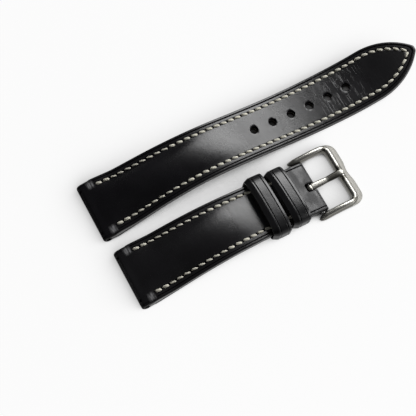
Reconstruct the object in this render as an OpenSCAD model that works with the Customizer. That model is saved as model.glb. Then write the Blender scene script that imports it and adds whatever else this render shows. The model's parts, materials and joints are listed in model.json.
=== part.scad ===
// Two-piece padded leather watch strap with a pin buckle, laid flat as a pair.
// X runs from the lug ends to the tip, Y across the strap, Z up from the table.
// Each half is drawn in its own strip coordinates: s along, y across, h above the lining,
// and is then laid over a gently waved line.

/* [Both halves] */
// Width at the lug ends
lug_w = 20; // [18:0.5:22]
// Gap between the two halves where they lie
pair_gap = 4.05; // [2:0.05:10]
// Thickness of the upper leather
upper_t = 1.1; // [0.8:0.05:1.4]
// Thickness of the lining leather
lining_t = 0.9; // [0.7:0.05:1.2]
// Thickness of the tape that stops the leather stretching
tape_t = 0.2; // [0.1:0.05:0.4]
// Glue line between two layers
glue_t = 0.02; // [0.01:0.01:0.05]
// Rounding of the top edge
edge_r = 0.45; // [0.2:0.05:0.6]
// Distance from the edge to the ironed crease
crease_in = 0.95; // [0.85:0.05:1.1]
// Width of the crease
crease_w = 0.3; // [0.2:0.05:0.4]
// Depth of the crease
crease_depth = 0.12; // [0.05:0.01:0.2]

/* [Padding] */
// Height that the padding adds at its crest
pad_crown = 1.9; // [1:0.1:2.6]
// Distance from the strap's edge to the foot of the padding
pad_margin = 3.1; // [3:0.05:3.5]
// How far the padding reaches along the long half
long_pad_end = 54; // [40:1:56]
// How far the padding reaches along the short half
short_pad_end = 49; // [36:1:52]
// Room between the foot of the crown and the padding piece
pad_room = 0.7; // [0.5:0.1:1]
// Length of the crown's end that has no padding piece under it
pad_feather = 6; // [5:0.5:8]

/* [Lug rolls] */
// Bore for the watch's spring bar
lug_bore_d = 1.8; // [1.6:0.1:2.2]
// Leather around the lug bore
lug_wall = 0.75; // [0.7:0.05:1]
// Length of the folded roll
roll_len = 4.25; // [4:0.25:6]
// Play of the body in the lugs, at each side
roll_step = 0.2; // [0.1:0.05:0.4]
// Play of the roll in the lugs, at each side
roll_play = 0.45; // [0.3:0.05:0.6]
// Length over which the edges come down behind the roll
lift_run = 9; // [5:0.5:12]

/* [Long half] */
// Length along the leather, lug end to tip
long_len = 115; // [105:1:125]
// Narrowest width, near the first hole
neck_w = 16.6; // [15:0.2:18]
// Place of the narrowest width
neck_at = 57; // [50:1:62]
// Width where the tail flares again
flare_w = 17.5; // [15:0.1:19]
// Length of the leaf-shaped tip
tip_len = 16.5; // [12:0.5:20]
// Even width before the tip
flare_run = 5; // [3:0.5:8]
// Rounding of the point
tip_r = 1.2; // [0.6:0.1:2]

/* [Adjustment holes] */
// Diameter of each hole
hole_d = 2.4; // [1.8:0.1:2.8]
// Distance between neighbouring holes
hole_pitch = 6.7; // [6:0.1:7.2]
// Place of the hole nearest the lug end
hole_first = 56.5; // [55:0.5:62]
// Number of holes
hole_count = 6; // [4:1:6]

/* [Short half] */
// Length along the leather, lug end to the buckle's bar
bar_at = 62.5; // [58:0.5:70]
// Length of the tapered run into the buckle loop
loop_run = 4.5; // [4:0.25:5]
// Width at the buckle
buckle_end_w = 16.9; // [15:0.1:17.4]
// How far the top of the buckle loop stands over the strap's face
loop_rise = 0.15; // [0:0.05:0.5]
// How far the short half is set back from the long one's lug end
short_set_back = 0.6; // [0:0.1:2]

/* [Stitching] */
// Distance between stitches
stitch_pitch = 2.45; // [2.2:0.05:3]
// Length of one stitch
stitch_len = 2.1; // [1.6:0.05:2.2]
// Thickness of the thread
thread_d = 0.6; // [0.4:0.05:0.65]
// Distance from the edge to the stitch line
stitch_margin = 2.4; // [2.2:0.05:2.5]
// Slant of each stitch to its line
stitch_slant = 12; // [0:1:20]
// Place of the first stitch
stitch_start = 7.0; // [6.5:0.1:10]
// Width of the sunken stitch line
groove_w = 0.8; // [0.5:0.05:0.9]
// Depth of the sunken stitch line
groove_depth = 0.2; // [0.1:0.02:0.3]

/* [Keepers] */
// Width of each leather keeper
keeper_w = 5.8; // [4.6:0.1:6]
// Width of the side of a keeper that rolls down towards the lug end
keeper_roll_w = 1.6; // [1:0.1:2]
// How far that side rolls down
keeper_roll = 0.5; // [0.2:0.05:0.6]
// Thickness of the keeper leather
keeper_t = 1.0; // [0.7:0.05:1.3]
// Height over the strap left for the tail
keeper_room = 2.6; // [2.3:0.1:3.4]
// Middle of the sliding keeper
free_keeper_at = 46.8; // [45.5:0.1:46.9]
// Middle of the fixed keeper
fixed_keeper_at = 53.7; // [53.6:0.1:54.8]
// Space beside and below the strap in the sliding keeper
free_keeper_gap = 0.5; // [0.4:0.05:0.8]
// Space beside and below the strap in the fixed keeper
fixed_keeper_gap = 0.12; // [0.05:0.01:0.2]
// Length of each staple wire under the sliding keeper
staple_w = 3; // [2:0.5:4]
// Thickness of the staple wire
staple_wire = 0.5; // [0.4:0.05:0.6]
// Height of the keepers' upright sides over the strap
keeper_side = 0.4; // [0.2:0.05:0.8]

/* [Buckle] */
// Clear width between the arms
arm_gap = 17.4; // [16.9:0.1:19]
// Width of each arm
arm_w = 2.1; // [1.6:0.1:2.6]
// Height of the frame
frame_h = 2.6; // [2:0.1:3]
// Bar axis to the middle of the front bead
frame_reach = 10.9; // [9:0.1:13]
// Radius of the frame's corners at the bead's middle
corner_r = 2.1; // [1.6:0.1:3]
// Width of the bevelled face outside the bead
bevel_w = 1.9; // [0.8:0.1:2.5]
// How far the bevelled face dips in at the tongue
bevel_dip = 0.55; // [0.2:0.05:0.7]
// Length of the pointed tails behind the bar
arm_tail = 2.3; // [1.8:0.1:2.6]
// How far the tails lean outwards
tail_lean = 0.3; // [0:0.05:0.5]
// Bow of the arms seen from the side
frame_bow = 0.5; // [0:0.1:0.8]

/* [Tongue] */
// Width of the tongue
tongue_w = 2.2; // [1.8:0.1:2.6]
// Thickness of the tongue
tongue_t = 1.1; // [0.8:0.05:1.3]
// How far the tongue's bend lies below its tip
tongue_sink = 0.5; // [0.2:0.05:0.6]
// Depth of the rest in the front bead
notch_depth = 0.5; // [0.3:0.05:0.7]
// Side clearance of the tongue in the leather slot and the rest
tongue_gap = 0.3; // [0.2:0.05:0.4]
// Slot length behind the bar
slot_back = 1.95; // [1.9:0.05:3]
// Rounding of the slot's corners
slot_corner = 0.6; // [0.3:0.1:1]
// Wall of the tongue's eye
eye_wall = 0.55; // [0.4:0.05:0.6]

/* [Spring bar] */
// Diameter of the bar's tube
bar_d = 1.5; // [1.4:0.05:1.6]
// Wall of the tube
bar_wall = 0.2; // [0.15:0.05:0.25]
// Diameter of the tips
bar_tip_d = 0.8; // [0.7:0.05:0.85]
// How far a tip stands into its arm
bar_tip_out = 1.0; // [0.8:0.05:1.1]
// Running clearance of the moving metal parts
run_gap = 0.05; // [0.03:0.01:0.08]
// Wire of the bar's spring
spring_wire = 0.16; // [0.12:0.02:0.2]
// Turns of the bar's spring
spring_turns = 12; // [8:1:16]

/* [Hidden] */

// Slopes of each half in degrees: at the end of the roll, then at even steps
long_slopes = [9, 14, 3, -9, -10, -4, 3, 16, 8];
short_slopes = [11, 14, 6, -3.5, -7.5, -10.5];

// Layers, as heights above the underside of the lining
tape_h = lining_t + glue_t;
upper_h = tape_h + tape_t + glue_t;
flat_t = upper_h + upper_t;
roll_h = lug_bore_d + 2 * lug_wall;
seat = 0.03;

body_w = lug_w - 2 * roll_step;
row_step = 3.3;
bore_fn = 48;

// Buckle loop of the short half
bar_r = bar_d / 2;
loop_r = bar_r + run_gap + upper_t;
loop_mid_h = flat_t + loop_rise - loop_r;
loop_from = bar_at - loop_run;
spread = 0.05;

// Tip of the long half: two arcs that meet at the point
tip_from = long_len - tip_len;
tip_a = flare_w / 2;
tip_run = tip_len + tip_r / 2;
tip_R = (pow(tip_run, 2) + pow(tip_a, 2)) / (2 * tip_a);

// A value read along a list of evenly spaced values
function read(values, u) =
    let (last = len(values) - 1, v = max(0, min(1, u)) * last, i = min(floor(v), last - 1))
    values[i] + (values[i + 1] - values[i]) * (v - i);

function slope_long(s) = read(long_slopes, (s - roll_len) / (long_len - roll_len));
function slope_short(s) = read(short_slopes, (s - roll_len) / (loop_from - roll_len));

// The waved line that a half lies over, as points a millimetre of leather apart
line_step = 1;
function waved(is_long, length) =
    [for (i = 0, x = 0, z = 0; i <= length / line_step + 1;
          a = slope(is_long, (i + 0.5) * line_step),
          x = x + line_step * cos(a), z = z + line_step * sin(a), i = i + 1) [x, z]];
function slope(is_long, s) = is_long ? slope_long(s) : slope_short(s);
long_line = waved(true, long_len);
short_line = waved(false, bar_at + loop_run);
function on_line(line, s) =
    let (u = max(0, s / line_step), i = min(floor(u), len(line) - 2))
    line[i] + (line[i + 1] - line[i]) * (u - i);

// Lowest point of each half, so that both rest on the table
function roll_low(angle) = roll_h / 2 * (cos(angle) + sin(angle)) - roll_h / 2;
long_low = min([roll_low(long_slopes[0]),
                for (s = [roll_len:1:long_len]) on_line(long_line, s)[1]]);
short_end = short_slopes[len(short_slopes) - 1];
bar_point = on_line(short_line, bar_at) + loop_mid_h * [-sin(short_end), cos(short_end)];
short_low = min(roll_low(short_slopes[0]), bar_point[1] - loop_r);

// Places of the two halves, with the middle of the whole pair at X 0 and Y 0
arm_mid = (arm_gap + arm_w) / 2;
frame_rim = 0.05;
frame_half_w = arm_mid + arm_w / 2 + frame_rim;
pair_shift = (frame_half_w - lug_w / 2) / 2;
long_y = (lug_w + pair_gap) / 2 + pair_shift;
short_y = long_y - lug_w - pair_gap;
roll_back = roll_h / 2 * (1 + sin(long_slopes[0]) - cos(long_slopes[0]));
tip_slope = slope_long(long_len);
tip_x = on_line(long_line, long_len)[0] - (flat_t - edge_r) * min(0, sin(tip_slope));
x_shift = (roll_back - tip_x) / 2;
long_origin = [x_shift, long_y, -long_low];
short_origin = [x_shift + short_set_back, short_y, -short_low];

// A strip point laid on its half
function lay(is_long, p) =
    let (q = on_line(is_long ? long_line : short_line, p[0]), a = slope(is_long, p[0]),
         o = is_long ? long_origin : short_origin)
    [o[0] + q[0] - p[2] * sin(a), o[1] + p[1], o[2] + q[1] + p[2] * cos(a)];
module at_strip(is_long, s, y = 0, h = 0) {
    translate(lay(is_long, [s, y, h])) rotate([0, -slope(is_long, s), 0]) children();
}

// Half width along each half
function long_half_w(s) =
    s < neck_at
        ? neck_w / 2 + (body_w - neck_w) / 2 * pow((neck_at - s) / (neck_at - roll_len), 2)
        : neck_w / 2 + (flare_w - neck_w) / 2
          * (1 - cos(180 * min(1, (s - neck_at) / (tip_from - neck_at - flare_run)))) / 2;
function short_half_w(s) =
    body_w / 2 + (buckle_end_w / 2 - spread - body_w / 2)
    * min(1, (s - roll_len) / (loop_from - roll_len));
function half_w(is_long, s) = is_long ? long_half_w(max(s, roll_len)) : short_half_w(max(s, roll_len));

// Crown of the padding: full behind the roll, eased out to nothing at its end
roll_rise = roll_h - flat_t;
function crest(is_long, s) =
    let (end = is_long ? long_pad_end : short_pad_end, top = end * 0.3,
         u = (s - roll_len) / (top - roll_len), v = (s - top) / (end - top))
    s < top
        ? roll_rise - seat + (max(pad_crown, roll_rise) - roll_rise + seat) * sin(90 * max(0, u))
        : max(pad_crown, roll_rise) * (1 + cos(180 * min(1, v))) / 2;
function across(in_from_edge, half) =
    let (v = max(0, min(1, (in_from_edge - pad_margin) / (half - pad_margin)))) 1 - pow(1 - v, 2.2);
function crown(is_long, s, in_from_edge, half) = crest(is_long, s) * across(in_from_edge, half);

// Lift of the edges just behind the roll
function edge_lift(s) =
    let (u = max(0, min(1, (s - roll_len) / lift_run))) (roll_rise - seat) * (1 + cos(180 * u)) / 2;

// Height of the upper's face over the flat layers
function dip(at, middle, width, depth) = depth * max(0, 1 - abs(at - middle) / (width / 2));
function face_relief(in_from_edge) =
    in_from_edge < edge_r
        ? -(edge_r - sqrt(max(0, pow(edge_r, 2) - pow(edge_r - in_from_edge, 2))))
        : -dip(in_from_edge, crease_in, crease_w, crease_depth)
          - dip(in_from_edge, stitch_margin, groove_w, groove_depth);
function face_h(is_long, s, in_from_edge, half) =
    flat_t + face_relief(in_from_edge) + crown(is_long, s, in_from_edge, half)
    + edge_lift(s) * (1 - across(in_from_edge, half));
function back_h(is_long, s, in_from_edge, half) =
    upper_h + crown(is_long, s, in_from_edge, half);

// Distances in from the edge at which a layer has points, the last one on the middle line
upper_insets = [0, 0.3 * edge_r, edge_r, crease_in - crease_w / 2, crease_in, crease_in + crease_w / 2,
                stitch_margin - groove_w / 2, stitch_margin, stitch_margin + groove_w / 2, pad_margin];

// One row of strip points across the strap, from the +Y edge to the -Y edge
function mirrored(half_row) =
    concat(half_row, [for (i = [len(half_row) - 2:-1:0]) [half_row[i][0], -half_row[i][1],
                                                         half_row[i][2], half_row[i][3]]]);
// Half rows hold [s, y, inset, half width]; fractions share the stretch inside the padding's foot
function straight_row(is_long, s, insets, fractions) =
    let (half = half_w(is_long, s), inner = insets[len(insets) - 1])
    mirrored([for (d = insets) [s, half - d, d, half],
              for (f = fractions) [s, (half - inner) * (1 - f), inner + (half - inner) * f, half]]);
// Past tip_from a row fans out from the middle line to the arcs; turn goes from 0 to 1 at the point
function tip_point(turn, d) =
    let (r = tip_R - d, full = acos(min(1, (tip_R - tip_a) / r)), a = turn * full,
         x = r * sin(a), y = turn >= 1 ? 0 : r * cos(a) - (tip_R - tip_a),
         blunt = tip_r * 0.5 * pow(max(0, 1 - y / tip_r), 2) * (1 - d / tip_a))
    [tip_from + x - blunt, max(0, y)];
function tip_row(turn, insets, fractions) =
    let (inner = insets[len(insets) - 1])
    mirrored([for (d = insets) let (p = tip_point(turn, d)) [p[0], p[1], d, tip_a],
              for (f = fractions) let (d = inner + (tip_a - inner) * f, p = tip_point(turn, d))
                  [p[0], f == 1 ? 0 : p[1], d, tip_a]]);

tip_turns = [0.15, 0.32, 0.5, 0.68, 0.85, 1];
// Rows lie closer together where the edges come down behind the roll
function rows_between(is_long, from, to, insets, fractions) =
    let (down = roll_len + lift_run, n = ceil((to - down) / row_step))
    [for (i = [0:3]) straight_row(is_long, from + (down - from) * i / 4, insets, fractions),
     for (i = [0:n]) straight_row(is_long, down + (to - down) * i / n, insets, fractions)];
function long_rows(from, insets, fractions) =
    concat(rows_between(true, from, tip_from, insets, fractions),
           [for (t = tip_turns) tip_row(t, insets, fractions)]);

// Closed solid between two grids of points; a pointed end folds its last row onto itself
module slab(top, bottom, pointed = false) {
    rows = len(top);
    cols = len(top[0]);
    count = rows * cols;
    points = [for (row = top) each row, for (row = bottom) each row];
    function top_at(i, j) = i * cols + j;
    function low_at(i, j) = count + i * cols + j;
    faces = [
        for (i = [0:rows - 2], j = [0:cols - 2]) each [
            [top_at(i, j), top_at(i + 1, j), top_at(i + 1, j + 1)],
            [top_at(i, j), top_at(i + 1, j + 1), top_at(i, j + 1)],
            [low_at(i, j), low_at(i + 1, j + 1), low_at(i + 1, j)],
            [low_at(i, j), low_at(i, j + 1), low_at(i + 1, j + 1)]],
        for (i = [0:rows - 2]) each [
            [top_at(i, 0), low_at(i, 0), low_at(i + 1, 0)],
            [top_at(i, 0), low_at(i + 1, 0), top_at(i + 1, 0)],
            [top_at(i, cols - 1), low_at(i + 1, cols - 1), low_at(i, cols - 1)],
            [top_at(i, cols - 1), top_at(i + 1, cols - 1), low_at(i + 1, cols - 1)]],
        for (j = [0:cols - 2]) each concat(
            [[top_at(0, j), low_at(0, j + 1), low_at(0, j)],
             [top_at(0, j), top_at(0, j + 1), low_at(0, j + 1)]],
            pointed ? [] :
            [[top_at(rows - 1, j), low_at(rows - 1, j), low_at(rows - 1, j + 1)],
             [top_at(rows - 1, j), low_at(rows - 1, j + 1), top_at(rows - 1, j + 1)]])];
    function apart(a, b) = norm(points[a] - points[b]) > 0.0001;
    polyhedron(points, [for (f = faces) if (apart(f[0], f[1]) && apart(f[1], f[2]) && apart(f[0], f[2])) f]);
}

// Layers of a half, from their grids
module upper_body(is_long) {
    insets = upper_insets;
    fractions = [0.3, 0.62, 1];
    start = roll_len - 0.2;
    grid = is_long ? long_rows(start, insets, fractions)
                   : rows_between(false, start, loop_from + 0.2, insets, fractions);
    slab([for (row = grid) [for (p = row) lay(is_long, [p[0], p[1], face_h(is_long, p[0], p[2], p[3])])]],
         [for (row = grid) [for (p = row) lay(is_long, [p[0], p[1], back_h(is_long, p[0], p[2], p[3])])]],
         is_long);
}
module flat_layer(is_long, from_h, to_h) {
    insets = [0];
    fractions = [0.5, 1];
    start = roll_len + seat;
    grid = is_long ? long_rows(start, insets, fractions)
                   : rows_between(false, start, loop_from - seat, insets, fractions);
    slab([for (row = grid) [for (p = row) lay(is_long, [p[0], p[1], to_h])]],
         [for (row = grid) [for (p = row) lay(is_long, [p[0], p[1], from_h])]], is_long);
}
module padding(is_long) {
    inset = pad_margin + pad_room;
    end = (is_long ? long_pad_end : short_pad_end) - pad_feather;
    grid = rows_between(is_long, roll_len + seat, end, [inset], [0.3, 0.62, 1]);
    slab([for (row = grid) [for (p = row)
              lay(is_long, [p[0], p[1], back_h(is_long, p[0], p[2], p[3]) - 3 * glue_t])]],
         [for (row = grid) [for (p = row) lay(is_long, [p[0], p[1], upper_h])]]);
}

// Folded end around the lug bore
module lug_roll(is_long) {
    at_strip(is_long, 0) rotate([90, 0, 0]) linear_extrude(lug_w - 2 * roll_play, center = true)
        difference() {
            union() {
                translate([roll_h / 2, roll_h / 2]) circle(roll_h / 2, $fn = bore_fn);
                translate([roll_h / 2, 0]) square([roll_len - roll_h / 2, roll_h]);
            }
            translate([roll_h / 2, roll_h / 2]) circle(lug_bore_d / 2, $fn = bore_fn);
        }
}

// Folded end around the buckle's bar, slotted for the tongue
module buckle_loop() {
    at_strip(false, loop_from) translate([-loop_from, 0, 0]) difference() {
        rotate([90, 0, 0]) linear_extrude(buckle_end_w, center = true) difference() {
            union() {
                translate([bar_at, loop_mid_h]) circle(loop_r, $fn = bore_fn);
                polygon([[loop_from, -seat], [loop_from, flat_t + seat],
                         [bar_at, loop_mid_h + loop_r], [bar_at, loop_mid_h - loop_r]]);
            }
            translate([bar_at, loop_mid_h]) circle(bar_r + run_gap, $fn = bore_fn);
        }
        tongue_slot();
    }
}
module tongue_slot() {
    half = tongue_w / 2 + tongue_gap - slot_corner;
    translate([bar_at, 0, loop_mid_h]) linear_extrude(4 * loop_r, center = true)
        offset(r = slot_corner, $fn = bore_fn)
            translate([slot_corner - slot_back, -half]) square([slot_back + loop_r, 2 * half]);
}

module adjustment_holes() {
    for (i = [0:hole_count - 1])
        at_strip(true, hole_first + i * hole_pitch, 0, flat_t / 2)
            cylinder(h = 3 * flat_t, d = hole_d, center = true, $fn = bore_fn);
}

module long_upper() color([0.05, 0.05, 0.055]) difference() {
    union() {
        lug_roll(true);
        upper_body(true);
    }
    adjustment_holes();
}
module long_lining() color([0.12, 0.1, 0.09]) difference() {
    flat_layer(true, 0, lining_t);
    adjustment_holes();
}
module long_tape() color([0.75, 0.73, 0.68]) difference() {
    flat_layer(true, tape_h, tape_h + tape_t);
    adjustment_holes();
}
module long_padding() color([0.55, 0.42, 0.3]) padding(true);

module short_upper() color([0.05, 0.05, 0.055]) {
    lug_roll(false);
    upper_body(false);
    buckle_loop();
}
module short_lining() color([0.12, 0.1, 0.09]) flat_layer(false, 0, lining_t);
module short_tape() color([0.75, 0.73, 0.68]) flat_layer(false, tape_h, tape_h + tape_t);
module short_padding() color([0.55, 0.42, 0.3]) padding(false);

// One stitch: a plump thread whose ends turn down into the leather
module stitch(fat = 1) {
    r = thread_d / 2;
    half = stitch_len / 2;
    scale_r = r * fat;
    rotate([0, 90, 0]) rotate_extrude($fn = bore_fn)
        polygon([[0, -half], [0.45 * scale_r, -half], [scale_r, -0.6 * half],
                 [scale_r, 0.6 * half], [0.45 * scale_r, half], [0, half]]);
}
// Height of a thread's middle over its sunken line
function thread_h(fat) = flat_t - groove_depth + thread_d / 2 * fat / cos(atan(2 * groove_depth / groove_w)) + 0.09;
module place_stitch(is_long, s, y, heading, fat) {
    at_strip(is_long, s, y, thread_h(fat) + edge_lift(s)) rotate([0, 0, heading - stitch_slant]) stitch(fat);
}

module side_stitches(is_long, to, pitch) {
    count = floor((to - stitch_start) / pitch + 0.001);
    for (i = [0:count], side = [-1, 1]) {
        s = stitch_start + i * pitch;
        y = half_w(is_long, s) - stitch_margin;
        taper = atan((half_w(is_long, s + 1) - half_w(is_long, s - 1)) / 2);
        place_stitch(is_long, s, side * y, side * taper, i < 2 ? 1.3 : 1);
    }
}
// The long row runs up one side, round the point and back
stitch_arc_r = tip_R - stitch_margin;
stitch_arc_a = acos((tip_R - tip_a) / stitch_arc_r);
stitch_arc = stitch_arc_r * stitch_arc_a * PI / 180;
long_row = tip_from - stitch_start + stitch_arc;
long_row_count = round(long_row / stitch_pitch + 0.5);
long_row_pitch = long_row / (long_row_count - 0.5);
module long_stitching() color([0.85, 0.83, 0.72]) {
    side_stitches(true, tip_from, long_row_pitch);
    first = floor((tip_from - stitch_start) / long_row_pitch + 0.001) + 1;
    for (i = [first:long_row_count - 1], side = [-1, 1]) {
        a = (stitch_start + i * long_row_pitch - tip_from) / stitch_arc_r * 180 / PI;
        place_stitch(true, tip_from + stitch_arc_r * sin(a),
                     side * (stitch_arc_r * cos(a) - (tip_R - tip_a)), -side * a, 1);
    }
}
module short_stitching() color([0.85, 0.83, 0.72]) side_stitches(false, fixed_keeper_at, stitch_pitch);

// Round the inside of a keeper: flat under the lining, upright beside the strap, arched over it
function keeper_half(at, gap) = half_w(false, at - keeper_w / 2) + gap;
function keeper_loop(at, gap) =
    let (a = keeper_half(at, gap), low = -gap, r = min(0.7, 3 * gap), side = flat_t + keeper_side,
         top = flat_t + crest(false, at) + keeper_room)
    concat([for (t = [0:30:90]) [a - r + r * sin(t), low + r - r * cos(t)]],
           [for (t = [0:10:180]) [a * sign(cos(t)) * pow(abs(cos(t)), 0.72),
                                  side + (top - side) * pow(sin(t), 0.9)]],
           [for (t = [90:-30:0]) [-(a - r + r * sin(t)), low + r - r * cos(t)]],
           [[0, low]]);
function crease_points(x, top) =
    [[x + crease_w / 2, top], [x, top - crease_depth], [x - crease_w / 2, top]];
module band(loop, width, thickness) {
    n = len(loop);
    edge = 0.2;
    left = -width / 2;
    right = width / 2;
    shape = concat([[left, 0], [right, 0], [right, thickness - edge], [right - edge, thickness]],
                   crease_points(right - crease_in, thickness),
                   crease_points(left + keeper_roll_w + crease_w / 2, thickness),
                   [[left + keeper_roll_w / 2, thickness - keeper_roll * 0.4],
                    [left + edge, thickness - keeper_roll * 0.85], [left, thickness - keeper_roll - edge]]);
    m = len(shape);
    function outward(i) =
        let (d = loop[(i + 1) % n] - loop[(i + n - 1) % n]) [d[1], -d[0]] / norm(d);
    points = [for (i = [0:n - 1], p = shape)
                  let (q = loop[i] + outward(i) * p[1]) [p[0], q[0], q[1]]];
    polyhedron(points, [for (i = [0:n - 1], j = [0:m - 1])
        let (a = i * m + j, b = i * m + (j + 1) % m,
             c = ((i + 1) % n) * m + (j + 1) % m, d = ((i + 1) % n) * m + j)
        each [[a, c, b], [a, d, c]]]);
}
module fixed_keeper() color([0.06, 0.06, 0.065])
    at_strip(false, fixed_keeper_at)
        band(keeper_loop(fixed_keeper_at, fixed_keeper_gap), keeper_w, keeper_t);
module free_keeper() color([0.06, 0.06, 0.065])
    at_strip(false, free_keeper_at)
        band(keeper_loop(free_keeper_at, free_keeper_gap), keeper_w, keeper_t);

// Wire staple that closes the sliding keeper's joint, laid flat under it
module free_keeper_staple() color([0.7, 0.7, 0.7]) {
    at_strip(false, free_keeper_at, 0, -free_keeper_gap - keeper_t - staple_wire / 2 - seat)
        for (x = [-1, 1]) translate([x * keeper_w / 5, 0, 0]) rotate([90, 0, 0])
            cylinder(h = staple_w, d = staple_wire, center = true, $fn = bore_fn);
}

// Buckle parts are drawn round the bar: u forward, v across, w up, tilted to rest on the table
bar_z = short_origin[2] + bar_point[1];
bar_x = short_origin[0] + bar_point[0];
frame_low = frame_h / 2 + 0.1;
frame_front = frame_reach + arm_w / 2 + bevel_w;
frame_tilt = asin((bar_z - frame_low - seat) / frame_front);
module at_bar() {
    translate([bar_x, short_y, bar_z]) rotate([0, frame_tilt, 0]) children();
}

// Middle line of the frame with its turn angle: 0 along an arm, 90 across the front
front_v = arm_mid - corner_r;
corner_u = frame_reach - corner_r;
frame_stations = concat(
    [for (f = [1, 0.93, 0.75, 0.5, 0.25, 0]) [-arm_tail * f, arm_mid + tail_lean * f, 0]],
    [for (u = [1.5, 3.5, 5.5, 7.2]) [u, arm_mid, 0]],
    [for (t = [0:18:90]) [corner_u + corner_r * sin(t), front_v + corner_r * cos(t), t]],
    [for (f = [0.8, 0.6, 0.45, 0.32, 0.22, 0.13, 0.06]) [frame_reach, front_v * f, 90]]);
frame_path = concat(frame_stations, [[frame_reach, 0, 90]],
                    [for (i = [len(frame_stations) - 1:-1:0])
                         [frame_stations[i][0], -frame_stations[i][1], 180 - frame_stations[i][2]]]);
function bump(x, reach) = abs(x) < reach ? (1 + cos(180 * x / reach)) / 2 : 0;
notch_half = tongue_w / 2 + tongue_gap;
function frame_section(p) =
    let (front = sin(p[2]), bevel = bevel_w * (p[0] > corner_u ? pow(front, 2) : 0)
                                    - (p[0] >= frame_reach ? bevel_dip * bump(p[1], 4) : 0),
         back = max(0, -p[0] / arm_tail), slim = sqrt(max(0.06, 1 - pow(back, 3))),
         a = arm_w / 2 * slim * (1 - 0.4 * back), b = frame_h / 2 * slim, cut = b * 1.1 * back,
         dip = p[0] >= frame_reach && abs(p[1]) < notch_half ? notch_depth : 0,
         out = max(frame_rim, bevel))
    [[-0.75 * a, -b], [-a, -0.45 * b], [-0.98 * a, 0.3 * b - 0.6 * cut], [-0.55 * a, 0.88 * b - dip - cut],
     [0, b - dip - cut], [0.55 * a, 0.86 * b - dip - cut], [0.95 * a, 0.3 * b - 0.3 * dip - 0.6 * cut],
     [a + out * 0.97, -0.25 * b - 0.25 * out - 0.2 * cut], [a + out, -0.6 * b - 0.2 * out],
     [0.8 * a + 0.8 * out, -b]];
function frame_ring(p) =
    let (dir = [sin(p[2]), cos(p[2])], lift = frame_bow * sin(180 * max(0, p[0]) / frame_reach))
    [for (q = frame_section(p)) [p[0] + dir[0] * q[0], p[1] + dir[1] * q[0], q[1] + lift]];

// Closed tube through rings that all hold the same number of points
module through_rings(rings) {
    n = len(rings);
    m = len(rings[0]);
    points = concat([for (r = rings) each r],
                    [for (r = [rings[0], rings[n - 1]]) [for (p = r) 1] * r / m]);
    faces = concat(
        [for (i = [0:n - 2], j = [0:m - 1])
            let (a = i * m + j, b = i * m + (j + 1) % m, c = a + m, d = b + m)
            each [[a, b, d], [a, d, c]]],
        [for (j = [0:m - 1]) each [[n * m, (j + 1) % m, j],
                                   [n * m + 1, (n - 1) * m + j, (n - 1) * m + (j + 1) % m]]]);
    polyhedron(points, faces);
}
module buckle_frame() color([0.75, 0.74, 0.7]) at_bar() difference() {
    through_rings([for (p = frame_path) frame_ring(p)]);
    for (side = [-1, 1]) translate([0, side * (arm_gap / 2 + bar_tip_out / 2 - seat), 0])
        rotate([90, 0, 0])
            cylinder(h = bar_tip_out + 2 * run_gap + 2 * seat, d = bar_tip_d + 2 * run_gap,
                     center = true, $fn = bore_fn);
}

// The tongue: a ring on the bar, a shank with a slight waist, and a rounded tip in its rest
rest_w = frame_h / 2 - notch_depth;
tongue_tip_u = frame_reach + 0.75;
tongue_ring_r = bar_r + run_gap + eye_wall;
tongue_bend = 0.52 * frame_reach;
tongue_rest = rest_w + tongue_t * 0.42 + run_gap;
function tongue_mid(u) =
    let (past = (u - tongue_bend) / (frame_reach - tongue_bend))
    tongue_rest - tongue_sink * pow(1 - min(1, max(0, past)), 1.3);
function tongue_ring(u) =
    let (end = max(0, (u - frame_reach + 0.4) / (tongue_tip_u - frame_reach + 0.4)),
         w = tongue_w / 2 * (1 - 0.12 * bump(u - tongue_bend, 2.5)) * sqrt(max(0.04, 1 - pow(end, 2))),
         t = tongue_t / 2 * (1 - 0.2 * u / tongue_tip_u) * sqrt(max(0.06, 1 - pow(end, 2))))
    [for (k = [0:11]) [u, -w * cos(30 * k + 15), tongue_mid(u) + t * sin(30 * k + 15)]];
tongue_stations = concat([for (f = [0.04, 0.3, 0.6, 0.85, 1]) tongue_bend * f],
                         [for (f = [0.1, 0.4, 0.7, 0.9, 0.95, 1]) tongue_bend + (frame_reach - tongue_bend) * f],
                         [for (f = [0.4, 0.75, 0.97]) frame_reach + (tongue_tip_u - frame_reach) * f]);
module buckle_tongue() color([0.72, 0.71, 0.67]) at_bar() difference() {
    union() {
        through_rings([for (u = tongue_stations) tongue_ring(u)]);
        rotate([90, 0, 0]) cylinder(h = tongue_w, r = tongue_ring_r, center = true, $fn = bore_fn);
    }
    rotate([90, 0, 0]) cylinder(h = 2 * tongue_w, r = bar_r + run_gap, center = true, $fn = bore_fn);
}

// Spring bar: a tube with a sprung tip at each end
tube_half = arm_gap / 2 - 0.2;
tube_bore_r = bar_r - bar_wall;
lip = 0.3;
flange_l = 0.8;
flange_r = tube_bore_r - run_gap;
module spring_bar_tube() color([0.8, 0.8, 0.8]) at_bar() rotate([90, 0, 0]) difference() {
    cylinder(h = 2 * tube_half, r = bar_r, center = true, $fn = bore_fn);
    cylinder(h = 2 * (tube_half - lip), r = tube_bore_r, center = true, $fn = bore_fn);
    cylinder(h = 2 * tube_half + 1, r = bar_tip_d / 2 + run_gap, center = true, $fn = bore_fn);
}
flange_out = tube_half - lip - run_gap;
module spring_bar_tip(side) color([0.82, 0.82, 0.82]) at_bar() rotate([side * 90, 0, 0]) {
    translate([0, 0, flange_out - flange_l]) cylinder(h = flange_l, r = flange_r, $fn = bore_fn);
    translate([0, 0, flange_out - flange_l / 2])
        cylinder(h = arm_gap / 2 + bar_tip_out - flange_out + flange_l / 2, d = bar_tip_d, $fn = bore_fn);
}
module spring_bar_tip_left() spring_bar_tip(-1);
module spring_bar_tip_right() spring_bar_tip(1);

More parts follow.
